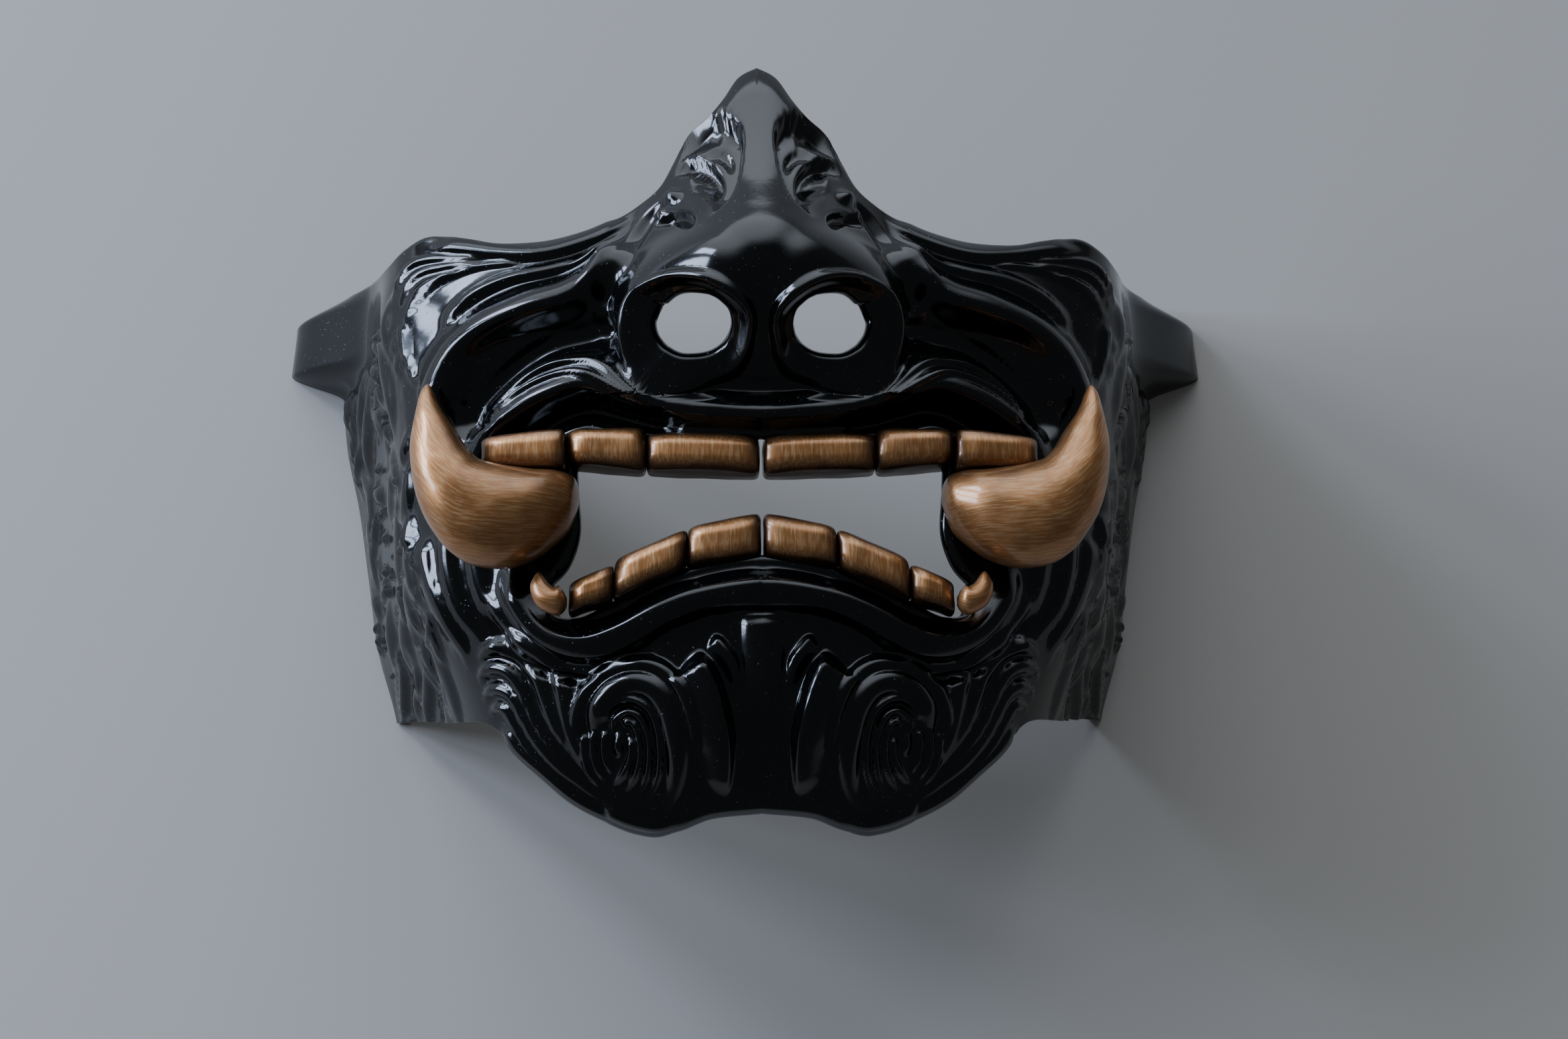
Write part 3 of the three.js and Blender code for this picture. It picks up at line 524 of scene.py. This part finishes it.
def side_relief(plan):
    chance = np.random.default_rng(LICK_SEED)
    relief = np.zeros(plan.shape[:2])
    for count, lengths, widths, heights, sway in LICK_KINDS:
        for _ in range(count):
            along, y = (chance.uniform(*span) for span in LICK_ROOTS)
            length, width, height = (chance.uniform(*span) for span in (lengths, widths, heights))
            bend, lean = chance.uniform(-sway, sway), (along - 92) * 0.06
            points = [(along - lean, y + length / 2), (along + bend, y + length / 6),
                      (along - bend / 2, y - length / 6), (along + lean, y - length / 2)]
            lick = roll_height(plan, height, width, width, points, ends=(0.5, 0.4), round_top=True)
            relief = np.maximum(relief, lick)
    past_corner = plan[..., 0] - read_table(SECTIONS, plan[..., 1])[4]
    off_front = smooth_step(0, 5, past_corner)
    off_rim = 1 - smooth_step(SIDE_RUN - 5, SIDE_RUN - 1, past_corner)
    off_tab = 1 - smooth_step(25, 30, plan[..., 1]) * smooth_step(22, 32, past_corner)
    return relief * off_front * off_rim * off_tab


# %% Add them up
def total_relief(plan):
    return face_relief(plan) + strand_relief(plan) + side_relief(plan)


fine_relief, coarse_relief = total_relief(fine_plan), total_relief(coarse_plan)
print("relief, mm:", round(fine_relief.min(), 2), "to", round(fine_relief.max(), 2))

# %% [markdown]
# ## The cast wall
#
# The right half's numbers are mirrored to the left. The outer skin is a fine grid that carries
# every fold, and the inner skin is a coarse smooth one, because nobody sees the folds from behind.
# Under the chin the wall folds back as a shelf: extra rows that run on from the lower edge.

# %% Surfaces from the plan
CHIN_RETURN, CHIN_RISE = 20, 5
RETURN_FADE = (44, 53)
FINE_SHELF, COARSE_SHELF = 24, 6
RETURN_ROWS = [(0, 0, 0), (0.18, 0.18, 0.035), (0.55, 0.55, -0.08), (1, 1, -0.3)]


def unit(v):
    return v / np.maximum(np.linalg.norm(v, axis=-1, keepdims=True), 1e-9)


def lift(plan):
    """The smooth face over a plan, and the way out of it."""
    base = bare_face(plan[..., 0], plan[..., 1])
    base[..., 2] += nose_rise(base[..., 0], base[..., 1])
    mirrored = np.concatenate([base[3:0:-1] * (-1, 1, 1), base])
    across = np.gradient(mirrored, axis=0)[3:]
    return base, unit(np.cross(across, np.gradient(base, axis=1)))


def chin_shelf(plan, surface, count):
    """The rows that fold back under the chin, from the deepest one up to the lower edge."""
    edge = surface[:, 0]
    run = np.gradient(np.concatenate([edge[1:2] * (-1, 1, 1), edge]), axis=0)[1:]
    away = unit(np.stack([run[:, 1], -run[:, 0], 0 * run[:, 0]], -1))
    amount = (1 - smooth_step(*RETURN_FADE, plan[:, 0, 0]))[:, None]
    rows = []
    for j in range(count, 0, -1):
        step = np.array((len(RETURN_ROWS) - 1) * j / count)
        back, outward = (curve_through([0, 1, 2, 3], [r[c] for r in RETURN_ROWS], step) for c in (1, 2))
        shift = away * CHIN_RETURN * amount * outward
        shift[:, 1] += CHIN_RISE * amount[:, 0] * back**2
        shift[:, 2] -= CHIN_RETURN * amount[:, 0] * back
        rows.append(edge + shift)
    return np.stack(rows, 1), away, amount


def outer_skin(plan, relief, shelf_rows):
    base, out = lift(plan)
    skin = base + out * relief[..., None]
    skin[-1, :, 2] = 0
    shelf, away, amount = chin_shelf(plan, skin, shelf_rows)
    way = unit(out[:, :1] * (1 - amount[:, None]) + away[:, None] * amount[:, None])
    ways = np.concatenate([np.repeat(way, shelf.shape[1], 1), out], 1)
    ways[-1, :, 2] = 0
    return np.concatenate([shelf, skin], 1), unit(ways)


def inner_skin(plan, relief, shelf_rows):
    base, out = lift(plan)
    level = out * (1, 1, 0)
    inner = base - out * (WALL - np.minimum(relief, 0))[..., None]
    inner[-1] = base[-1] - unit(level[-1]) * WALL
    inner[-1, :, 2] = 0
    shelf, away, amount = chin_shelf(plan, inner, shelf_rows)
    inward = -away[:, None] * (WALL * amount)[:, None]
    inner[:, :1] += inward
    return np.concatenate([shelf + inward, inner], 1)


def both_halves(half, sign=(-1, 1, 1)):
    return np.concatenate([half[:0:-1] * sign, half])


outer, outer_way = outer_skin(fine_plan, fine_relief, FINE_SHELF)
inner = inner_skin(coarse_plan, coarse_relief, COARSE_SHELF)
print("outer skin:", both_halves(outer).shape, "inner skin:", both_halves(inner).shape)

# %% [markdown]
# Each skin starts as a flat bmesh grid whose squares over the openings are deleted. Its corners
# then move to their places, as in sculpting. The edges of the outer skin are extruded four times
# round a quarter turn to make a rounded rim, and bridged to the edges of the inner skin.

# %% Grids with openings
def is_open(column, row):
    """Whether a square of the plan lies in the mouth or in a nostril."""
    mouth = column < MOUTH_COLUMNS and MOUTH_ROWS[0] <= row < MOUTH_ROWS[1]
    nostril_row = NOSTRIL_ROWS[0] <= row < NOSTRIL_ROWS[1]
    return mouth or (NOSTRIL_COLUMNS[0] <= column < NOSTRIL_COLUMNS[1] and nostril_row)


def skin_grid(bm, places, columns, rows):
    """Adds a grid at the places and returns its corners' marks: across (left is below 0) and up."""
    wide, high = places.shape[0] - 1, places.shape[1] - 1
    across = np.concatenate([-columns[:0:-1], columns])
    up = np.concatenate([np.full(high + 1 - len(rows), -1), rows])
    made = bmesh.ops.create_grid(bm, x_segments=wide, y_segments=high, size=1)["verts"]
    index = {}
    for v in made:
        i, j = round((v.co.x + 1) * wide / 2), round((v.co.y + 1) * high / 2)
        index[v] = (i, j)
    gone = []
    for face in {f for v in made for f in v.link_faces}:
        corners = [index[v] for v in face.verts]
        column = min(abs(across[i]) for i, _ in corners)
        if is_open(int(column + 0.01), int(up[min(j for _, j in corners)] + 0.01)):
            gone.append(face)
    bmesh.ops.delete(bm, geom=gone, context="FACES")
    index = {v: place for v, place in index.items() if v.is_valid}
    for v, (i, j) in index.items():
        v.co = Vector(places[i, j]) * MM
    return index, across, up


def edge_groups(index, across, up):
    """Boundary edges of one skin, sorted by the opening that they run round."""
    groups = {"rim": [], "mouth": [], "nostril_r": [], "nostril_l": []}
    for edge in {e for v in index for e in v.link_edges if e.is_boundary}:
        i, j = index[edge.verts[0]]
        if i in (0, len(across) - 1) or j in (0, len(up) - 1):
            groups["rim"].append(edge)
        elif up[j] < MOUTH_ROWS[1] + 0.5:
            groups["mouth"].append(edge)
        else:
            groups["nostril_r" if across[i] > 0 else "nostril_l"].append(edge)
    return groups


# %% Build the wall
RIM_STEPS = 4
RIM_ROUND = 1.1
PULL_ROUNDS = 8


def rim_pulls(edges, index, ways):
    """For each corner on an edge: its place, the way out of the wall, and the way off its edge."""
    pulls = {}
    for v in {v for e in edges for v in e.verts}:
        inside = [w for e in v.link_edges for w in e.verts if w is not v and not e.is_boundary]
        pulls[v] = sum(((v.co - w.co) for w in inside), Vector())
    beside = {v: [e.other_vert(v) for e in v.link_edges if e.is_boundary] for v in pulls}
    for _ in range(PULL_ROUNDS):
        pulls = {v: (pull + sum((pulls[w] for w in beside[v]), Vector())) / 3
                 for v, pull in pulls.items()}
    rolls = {}
    for v, pull in pulls.items():
        out = Vector(ways[index[v]])
        pull = pull - out * pull.dot(out)
        rolls[v] = (v.co.copy(), out, pull.normalized())
    return rolls


def wall_mesh():
    bm = bmesh.new()
    places, ways = both_halves(outer), both_halves(outer_way)
    outer_index, *outer_marks = skin_grid(bm, places, fine_columns, fine_rows)
    inner_index, *inner_marks = skin_grid(bm, both_halves(inner), coarse_columns, coarse_rows)
    bmesh.ops.reverse_faces(bm, faces=list({f for v in inner_index for f in v.link_faces}))
    outer_edges = edge_groups(outer_index, *outer_marks)
    inner_edges = edge_groups(inner_index, *inner_marks)
    for name, edges in outer_edges.items():
        roll = rim_pulls(edges, outer_index, ways)
        for step in range(1, RIM_STEPS + 1):
            angle = math.pi * step / (RIM_STEPS + 1)
            made = bmesh.ops.extrude_edge_only(bm, edges=edges)["geom"]
            new = [v for v in made if isinstance(v, bmesh.types.BMVert)]
            fresh = set(new)
            for v in new:
                old = next(w for e in v.link_edges for w in e.verts if w in roll and w not in fresh)
                roll[v] = roll[old]
            for v in new:
                start, out, pull = roll[v]
                down = (1 - math.cos(angle)) * WALL / 2
                v.co = start + (pull * math.sin(angle) * RIM_ROUND - out * down) * MM
                v.co.z = max(v.co.z, 0)
            edges = [e for e in made if isinstance(e, bmesh.types.BMEdge)]
        bmesh.ops.bridge_loops(bm, edges=edges + inner_edges[name])
    bmesh.ops.remove_doubles(bm, verts=bm.verts, dist=1e-6)
    bmesh.ops.dissolve_degenerate(bm, edges=bm.edges, dist=1e-7)
    bmesh.ops.recalc_face_normals(bm, faces=bm.faces)
    return bm


# %% A piece for the frame
def add_piece(bm, name, slot, *nodes):
    """Turns a bmesh into a smooth piece that rides with the guard and stands for its CAD nodes."""
    for face in bm.faces:
        face.smooth = True
    mesh = bpy.data.meshes.new(name)
    bm.to_mesh(mesh)
    bm.free()
    piece = bpy.data.objects.new(name, mesh)
    bpy.context.scene.collection.objects.link(piece)
    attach(piece, "root")
    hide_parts(*nodes)
    triangles = sum(len(p.vertices) - 2 for p in mesh.polygons)
    print(name, "triangles:", triangles)
    return piece


shell = add_piece(wall_mesh(), "lacquered_shell", "black_lacquer", "face_shell")

# %% [markdown]
# ## Teeth and tusks
#
# The teeth are cast blocks with soft corners, uneven as hand-carved ones are. Each starts as a cube
# that is cut five times each way. The outermost cuts lie close to the corners, so a subdivision
# surface keeps the block's faces flat and rounds only its edges. The tusks and the small hooks are
# bent bars: a sphere whose rings are moved to the sections of a curve, so both ends are closed.

# %% Paint coordinates
def brush_layers(bm):
    """Layers that the gold paint reads: where the brush ran, and how much painted shade darkens it."""
    return bm.verts.layers.float_vector.new("brush"), bm.verts.layers.float.new("painted_shade")


def mirror_copy(bm):
    """The same piece on the other side of the face."""
    other = bm.copy()
    bmesh.ops.scale(other, vec=(-1, 1, 1), verts=other.verts)
    bmesh.ops.reverse_faces(other, faces=other.faces)
    return other


# %% Block teeth
TEETH = [
    # name, inner and outer x, top at both, bottom at both, front z at both
    ("upper_tooth_central", 0.3, 22.3, -1.7, -1.3, -10.1, -9.2, 84.2, 83.6),
    ("upper_tooth_lateral", 22.3, 37.6, -0.2, -0.2, -9.3, -7.6, 83.4, 81.6),
    ("upper_canine", 37.9, 54.4, -0.2, -1.2, -9, -8.4, 83.2, 79.4),
    ("lower_tooth_central", 0.2, 14.4, -17.4, -20.2, -26.6, -28.6, 84.8, 84.6),
    ("lower_tooth_second", 14.4, 28.5, -20.4, -26.2, -28.7, -34.6, 84.6, 83),
    ("lower_tooth_third", 28.5, 37.2, -27, -30.6, -34.6, -37, 83.2, 81.6),
]
TOOTH_DEPTH, TOOTH_CUTS = 9, 5
EDGE_RUN = 2.3         # mm from a tooth's edge to its first cut
DENT, DENT_RUN = 0.35, 4.5
SUBDIVISION = 2


def near_edges(share, half):
    """Moves an even cut at -1 to 1 so that the outermost cut lies EDGE_RUN inside the edge."""
    step = 2 / (TOOTH_CUTS + 1)
    inmost = max(1 - EDGE_RUN / half, 0.2)
    if abs(share) <= 1 - step + 1e-6:
        return share / (1 - step) * inmost
    return share


def tooth_mesh(name, x_in, x_out, top_in, top_out, low_in, low_out, front_in, front_out):
    bm = bmesh.new()
    bmesh.ops.create_cube(bm, size=2)
    bmesh.ops.subdivide_edges(bm, edges=bm.edges, cuts=TOOTH_CUTS, use_grid_fill=True)
    brush, painted_shade = brush_layers(bm)
    for v in bm.verts:
        u = near_edges(v.co.x, (x_out - x_in) / 2)
        w = near_edges(v.co.y, (top_in - low_in) / 2)
        t = near_edges(v.co.z, TOOTH_DEPTH / 2)
        across = (u + 1) / 2
        top, low = top_in + (top_out - top_in) * across, low_in + (low_out - low_in) * across
        # The front is a pillow: a little narrower than the root, and lower towards its edges.
        taper = 1 - 0.09 * smooth_step(-0.2, 1, t)
        bulge = (1.6 * u**6 + 1.3 * w**4) * smooth_step(0, 1, t)
        spot = Vector(((x_in + x_out) / 2 + (x_out - x_in) / 2 * u * (1 + 0.25 * (taper - 1)),
                       (top + low) / 2 + (top - low) / 2 * w * taper,
                       front_in + (front_out - front_in) * across - TOOTH_DEPTH * (1 - t) / 2 - bulge))
        spot += noise.noise_vector(spot / DENT_RUN) * DENT
        v.co = spot * MM
        v[brush] = Vector((spot.y, spot.x, spot.z))
        # Painted shade: the front darkens towards its edges, and the sides and back are fully dark, where
        # the teeth and lips shade each other.
        edge = max(abs(u) ** 3, abs(w))
        v[painted_shade] = float(smooth_step(0.55, 1, edge)) if t > 0.3 else 1.2
    return bm


def add_pair(name, right, slot, subdivision=0):
    """Adds the right half's piece and its mirror copy to the left."""
    for side, bm in (("l", mirror_copy(right)), ("r", right)):
        piece = add_piece(bm, f"{name}_painted_{side}", slot, f"{name}_{side}")
        if subdivision:
            smooth = piece.modifiers.new("soft_corners", "SUBSURF")
            smooth.levels = smooth.render_levels = subdivision
        gold.append(piece)


gold = []
for row in TEETH:
    add_pair(row[0], tooth_mesh(*row), "antique_gold", SUBDIVISION)

# %% Bent bars: tusks and hooks
TUSK = [
    # inner side x, y; outer side x, y; z of the middle, radius in depth
    (34.8, -10.6, 35.6, -17.4, 76.6, 5), (37.6, -8.9, 38.2, -21.4, 77.4, 7.4),
    (42.4, -8.5, 43, -25.6, 78.8, 9.2), (47.6, -8.3, 49, -28, 80, 9.9),
    (51.8, -8, 55, -27.6, 81, 9.8), (54.2, -7.4, 60.2, -24.8, 81.6, 9.2),
    (55.5, -6.2, 64.2, -19.6, 82, 8.4), (56.8, -4.6, 66.6, -13.2, 82, 7.4),
    (58.5, -2.2, 67.6, -6, 81.8, 6), (60.3, 0.6, 67.2, 0.6, 81.4, 4.6),
    (62.3, 4.2, 66.4, 5, 80.8, 2.8), (63.9, 8.2, 65.3, 8.6, 80.2, 1.1),
]
HOOK = [
    # middle x, y, z; radius across the face, radius in depth
    (37.4, -33.9, 79.4, 2.7, 3.2), (39.4, -34.5, 79.8, 2.8, 3.2), (41.4, -33.7, 80, 2.4, 2.8),
    (42.7, -31.4, 80, 1.7, 2), (42.9, -28.8, 80, 0.8, 1),
]
BEAT, BEAT_RUN = 0.35, 6


def bar_sections(stations):
    """Rows of inner x, y, outer x, y, z and depth from rows of middle, radius and depth."""
    line = np.array(stations, float)
    way = unit(np.gradient(line[:, :2], axis=0))
    arm = np.stack([-way[:, 1], way[:, 0]], 1) * line[:, 3:4]
    return np.concatenate([line[:, :2] + arm, line[:, :2] - arm, line[:, 2:3], line[:, 4:5]], 1)


def bar_mesh(sections, sides, rings, cap):
    sections = np.array(sections, float)
    knots = list(np.linspace(0, 1, len(sections)))
    length = np.linalg.norm(np.diff((sections[:, :2] + sections[:, 2:4]) / 2, axis=0), axis=1).sum()
    bm = bmesh.new()
    bmesh.ops.create_uvsphere(bm, u_segments=sides, v_segments=rings, radius=1)
    brush, painted_shade = brush_layers(bm)
    for v in bm.verts:
        share = math.acos(max(-1, min(1, -v.co.z))) / math.pi
        turn = math.atan2(v.co.y, v.co.x)
        row = [float(curve_through(knots, sections[:, c], np.array(share))) for c in range(6)]
        end = min(share, 1 - share) / cap
        swell = math.sqrt(max(0, 1 - (1 - end) ** 2)) if end < 1 else 1
        inside, outside = Vector((row[0], row[1], row[4])), Vector((row[2], row[3], row[4]))
        spot = (inside + outside) / 2 + (inside - outside) / 2 * math.cos(turn) * swell
        spot.z += row[5] * math.sin(turn) * swell
        spot += noise.noise_vector(spot / BEAT_RUN) * BEAT * min(1, 6 * min(share, 1 - share))
        v.co = spot * MM
        v[brush] = Vector((share * length, turn * row[5], 0))
        # Painted shade: darkest on the bar's inner back, lightest on its outer front, and darker towards
        # the root inside the mouth.
        v[painted_shade] = 0.5 - 0.35 * math.sin(turn) + 0.3 * math.cos(turn) + 0.8 * max(0, 0.25 - share)
    bmesh.ops.recalc_face_normals(bm, faces=bm.faces)
    return bm


BARS = [
    # name, sections, sides, rings, share of the length that rounds off each end
    ("tusk", TUSK, 48, 90, 0.06),
    ("lower_tooth_hook", bar_sections(HOOK), 24, 24, 0.25),
]
for name, sections, sides, rings, cap in BARS:
    add_pair(name, bar_mesh(sections, sides, rings, cap), "antique_gold")

# %% [markdown]
# ## Finishes

# %% Colours and nodes
def linear(hex_colour):
    """An sRGB hex colour as linear red, green, blue and alpha."""
    parts = [int(hex_colour[i:i + 2], 16) / 255 for i in (1, 3, 5)]
    return (*[c / 12.92 if c <= 0.04045 else ((c + 0.055) / 1.055) ** 2.4 for c in parts], 1)


def node(tree, kind, settings=(), links=()):
    """Adds a node. Settings name sockets or properties, and links name sockets and outputs."""
    made = tree.nodes.new(kind)
    for key, value in dict(settings).items():
        if isinstance(key, int) or key in made.inputs:
            made.inputs[key].default_value = value
        else:
            setattr(made, key, value)
    for key, output in dict(links).items():
        tree.links.new(output, made.inputs[key])
    return made


def new_finish(name):
    finish = bpy.data.materials.new(name)
    finish.use_nodes = True
    tree = finish.node_tree
    return finish, tree, tree.nodes["Principled BSDF"]


def mix_colours(tree, first, second, amount):
    mix = tree.nodes.new("ShaderNodeMix")
    mix.data_type = "RGBA"
    colours = [s for s in mix.inputs if s.type == "RGBA"]
    for socket, value in zip(colours, (first, second)):
        if isinstance(value, str):
            socket.default_value = linear(value)
        else:
            tree.links.new(value, socket)
    tree.links.new(amount, mix.inputs["Factor"])
    return next(s for s in mix.outputs if s.type == "RGBA")


# %% Gloss black lacquer
LACQUER_BLACK, DUST_GREY = "#040506", "#8E959C"
ORANGE_PEEL = 1.6      # mm from crest to crest of the lacquer's skin
DUST = 0.5             # mm between the dust grains caught in the lacquer


def black_lacquer():
    finish, tree, shader = new_finish("black_lacquer")
    place = node(tree, "ShaderNodeTexCoord").outputs["Object"]
    peel = node(tree, "ShaderNodeTexNoise", {"Scale": 1 / (ORANGE_PEEL * MM), "Detail": 1.5},
                {"Vector": place}).outputs["Fac"]
    grain = node(tree, "ShaderNodeTexNoise", {"Scale": 1 / (DUST * MM), "Detail": 1},
                 {"Vector": place}).outputs["Fac"]
    specks = node(tree, "ShaderNodeMapRange", {"From Min": 0.73, "From Max": 0.79}, {"Value": grain})
    bump = node(tree, "ShaderNodeBump", {"Strength": 0.16, "Distance": 0.08 * MM}, {"Height": peel})
    pits = node(tree, "ShaderNodeBump", {"Strength": 0.5, "Distance": 0.05 * MM},
                {"Height": specks.outputs["Result"], "Normal": bump.outputs["Normal"]})
    dusty = node(tree, "ShaderNodeMath", {"operation": "MULTIPLY", 1: 0.25},
                 {0: specks.outputs["Result"]}).outputs[0]
    tree.links.new(mix_colours(tree, LACQUER_BLACK, DUST_GREY, dusty), shader.inputs["Base Color"])
    shader.inputs["Roughness"].default_value = 0.13
    tree.links.new(pits.outputs["Normal"], shader.inputs["Normal"])
    return finish


shell.data.materials.append(black_lacquer())

# %% Antique gold paint
# The dark brown below is painted shade: the gold darkens towards it in corners, between the teeth and on
# the shaded sides of the tusks.
GOLD, GOLD_WORN, PAINTED_SHADE_BROWN = "#A8713F", "#E2BE8E", "#2E1808"
BRISTLE = 0.45         # mm from one bristle's streak to the next


def finish_gold():
    finish, tree, shader = new_finish("antique_gold_paint")
    place = node(tree, "ShaderNodeTexCoord").outputs["Object"]
    brush = node(tree, "ShaderNodeAttribute", {"attribute_name": "brush"}).outputs["Vector"]
    painted_shade = node(tree, "ShaderNodeAttribute", {"attribute_name": "painted_shade"}).outputs["Fac"]
    stroke = node(tree, "ShaderNodeMapping", {"Scale": (0.12 / BRISTLE, 1 / BRISTLE, 1 / BRISTLE)},
                  {"Vector": brush}).outputs["Vector"]
    streak = node(tree, "ShaderNodeTexNoise", {"Scale": 1, "Detail": 4, "Roughness": 0.6},
                  {"Vector": stroke}).outputs["Fac"]
    cloud = node(tree, "ShaderNodeTexNoise", {"Scale": 1 / (6 * MM), "Detail": 3},
                 {"Vector": place}).outputs["Fac"]
    # Painted shade: each piece's shade layer, with a slow cloud of noise added, darkens the gold towards
    # the dark brown.
    dark = node(tree, "ShaderNodeMath", {"operation": "ADD"}, {0: painted_shade, 1: cloud}).outputs[0]
    painted_shade_amount = node(tree, "ShaderNodeMapRange", {"From Min": 0.5, "From Max": 1.5, "To Max": 0.9},
                 {"Value": dark}).outputs["Result"]
    light = node(tree, "ShaderNodeMapRange", {"From Min": 0.45, "From Max": 0.75, "To Max": 0.6},
                 {"Value": streak}).outputs["Result"]
    burnished = mix_colours(tree, GOLD, GOLD_WORN, light)
    tree.links.new(mix_colours(tree, burnished, PAINTED_SHADE_BROWN, painted_shade_amount), shader.inputs["Base Color"])
    rough = node(tree, "ShaderNodeMapRange", {"To Min": 0.3, "To Max": 0.52}, {"Value": streak})
    tree.links.new(rough.outputs["Result"], shader.inputs["Roughness"])
    shader.inputs["Metallic"].default_value = 0.75
    shader.inputs["Coat Weight"].default_value = 0.6
    shader.inputs["Coat Roughness"].default_value = 0.12
    bump = node(tree, "ShaderNodeBump", {"Strength": 0.25, "Distance": 0.1 * MM}, {"Height": streak})
    tree.links.new(bump.outputs["Normal"], shader.inputs["Normal"])
    return finish


gold_paint = finish_gold()
for piece in gold:
    piece.data.materials.append(gold_paint)

# %% [markdown]
# ## Light and floor

# %% Floor and lamps
FLOOR = "#B9B4AD"


def add_floor():
    bm = bmesh.new()
    bmesh.ops.create_grid(bm, x_segments=1, y_segments=1, size=1.6)
    bmesh.ops.translate(bm, vec=(0, 0, -0.0003), verts=bm.verts)
    mesh = bpy.data.meshes.new("floor")
    bm.to_mesh(mesh)
    bm.free()
    floor = bpy.data.objects.new("floor", mesh)
    bpy.context.scene.collection.objects.link(floor)
    finish, tree, shader = new_finish("pale_paper")
    shader.inputs["Base Color"].default_value = linear(FLOOR)
    shader.inputs["Roughness"].default_value = 0.9
    mesh.materials.append(finish)


def add_light(name, place, size, watts, colour):
    lamp = bpy.data.lights.new(name, "AREA")
    lamp.shape, lamp.size, lamp.size_y = "RECTANGLE", size[0], size[1]
    lamp.energy, lamp.color = watts, linear(colour)[:3]
    light = bpy.data.objects.new(name, lamp)
    aim = Vector((0, 0, 0.05)) - Vector(place)
    light.rotation_euler = aim.to_track_quat("-Z", "Y").to_euler()
    light.location = place
    bpy.context.scene.collection.objects.link(light)


LIGHTS = [
    # name, place in metres, width and height, watts, colour
    ("window_left_pane", (-1.2, 0.16, 0.44), (0.24, 0.5), 9, "#CFE0FF"),
    ("window_middle_pane", (-1.1, 0.46, 0.46), (0.24, 0.5), 9, "#CFE0FF"),
    ("window_right_pane", (-0.9, 0.8, 0.48), (0.24, 0.5), 9, "#CFE0FF"),
]
# The rest of the light is a soft glow that is brightest low above the top of the guard.
GLOW_WAY = (-0.15, 0.94, 0.3)
GLOW_START = 0.5
GLOW_COLOUR, DUSK_COLOUR = "#DCE6F2", "#6E7276"
GLOW, DUSK = 3, 0.6


def add_glow():
    world = bpy.data.worlds.new("studio")
    world.use_nodes = True
    tree = world.node_tree
    way = node(tree, "ShaderNodeTexCoord").outputs["Generated"]
    along = node(tree, "ShaderNodeVectorMath", {"operation": "DOT_PRODUCT", 1: GLOW_WAY}, {0: way})
    share = node(tree, "ShaderNodeMapRange", {"interpolation_type": "SMOOTHERSTEP", "From Min": GLOW_START},
                 {"Value": along.outputs["Value"]}).outputs["Result"]
    strength = node(tree, "ShaderNodeMapRange", {"To Min": DUSK, "To Max": GLOW}, {"Value": share})
    background = tree.nodes["Background"]
    tree.links.new(mix_colours(tree, DUSK_COLOUR, GLOW_COLOUR, share), background.inputs["Color"])
    tree.links.new(strength.outputs["Result"], background.inputs["Strength"])
    bpy.context.scene.world = world


add_floor()
for row in LIGHTS:
    add_light(*row)
add_glow()
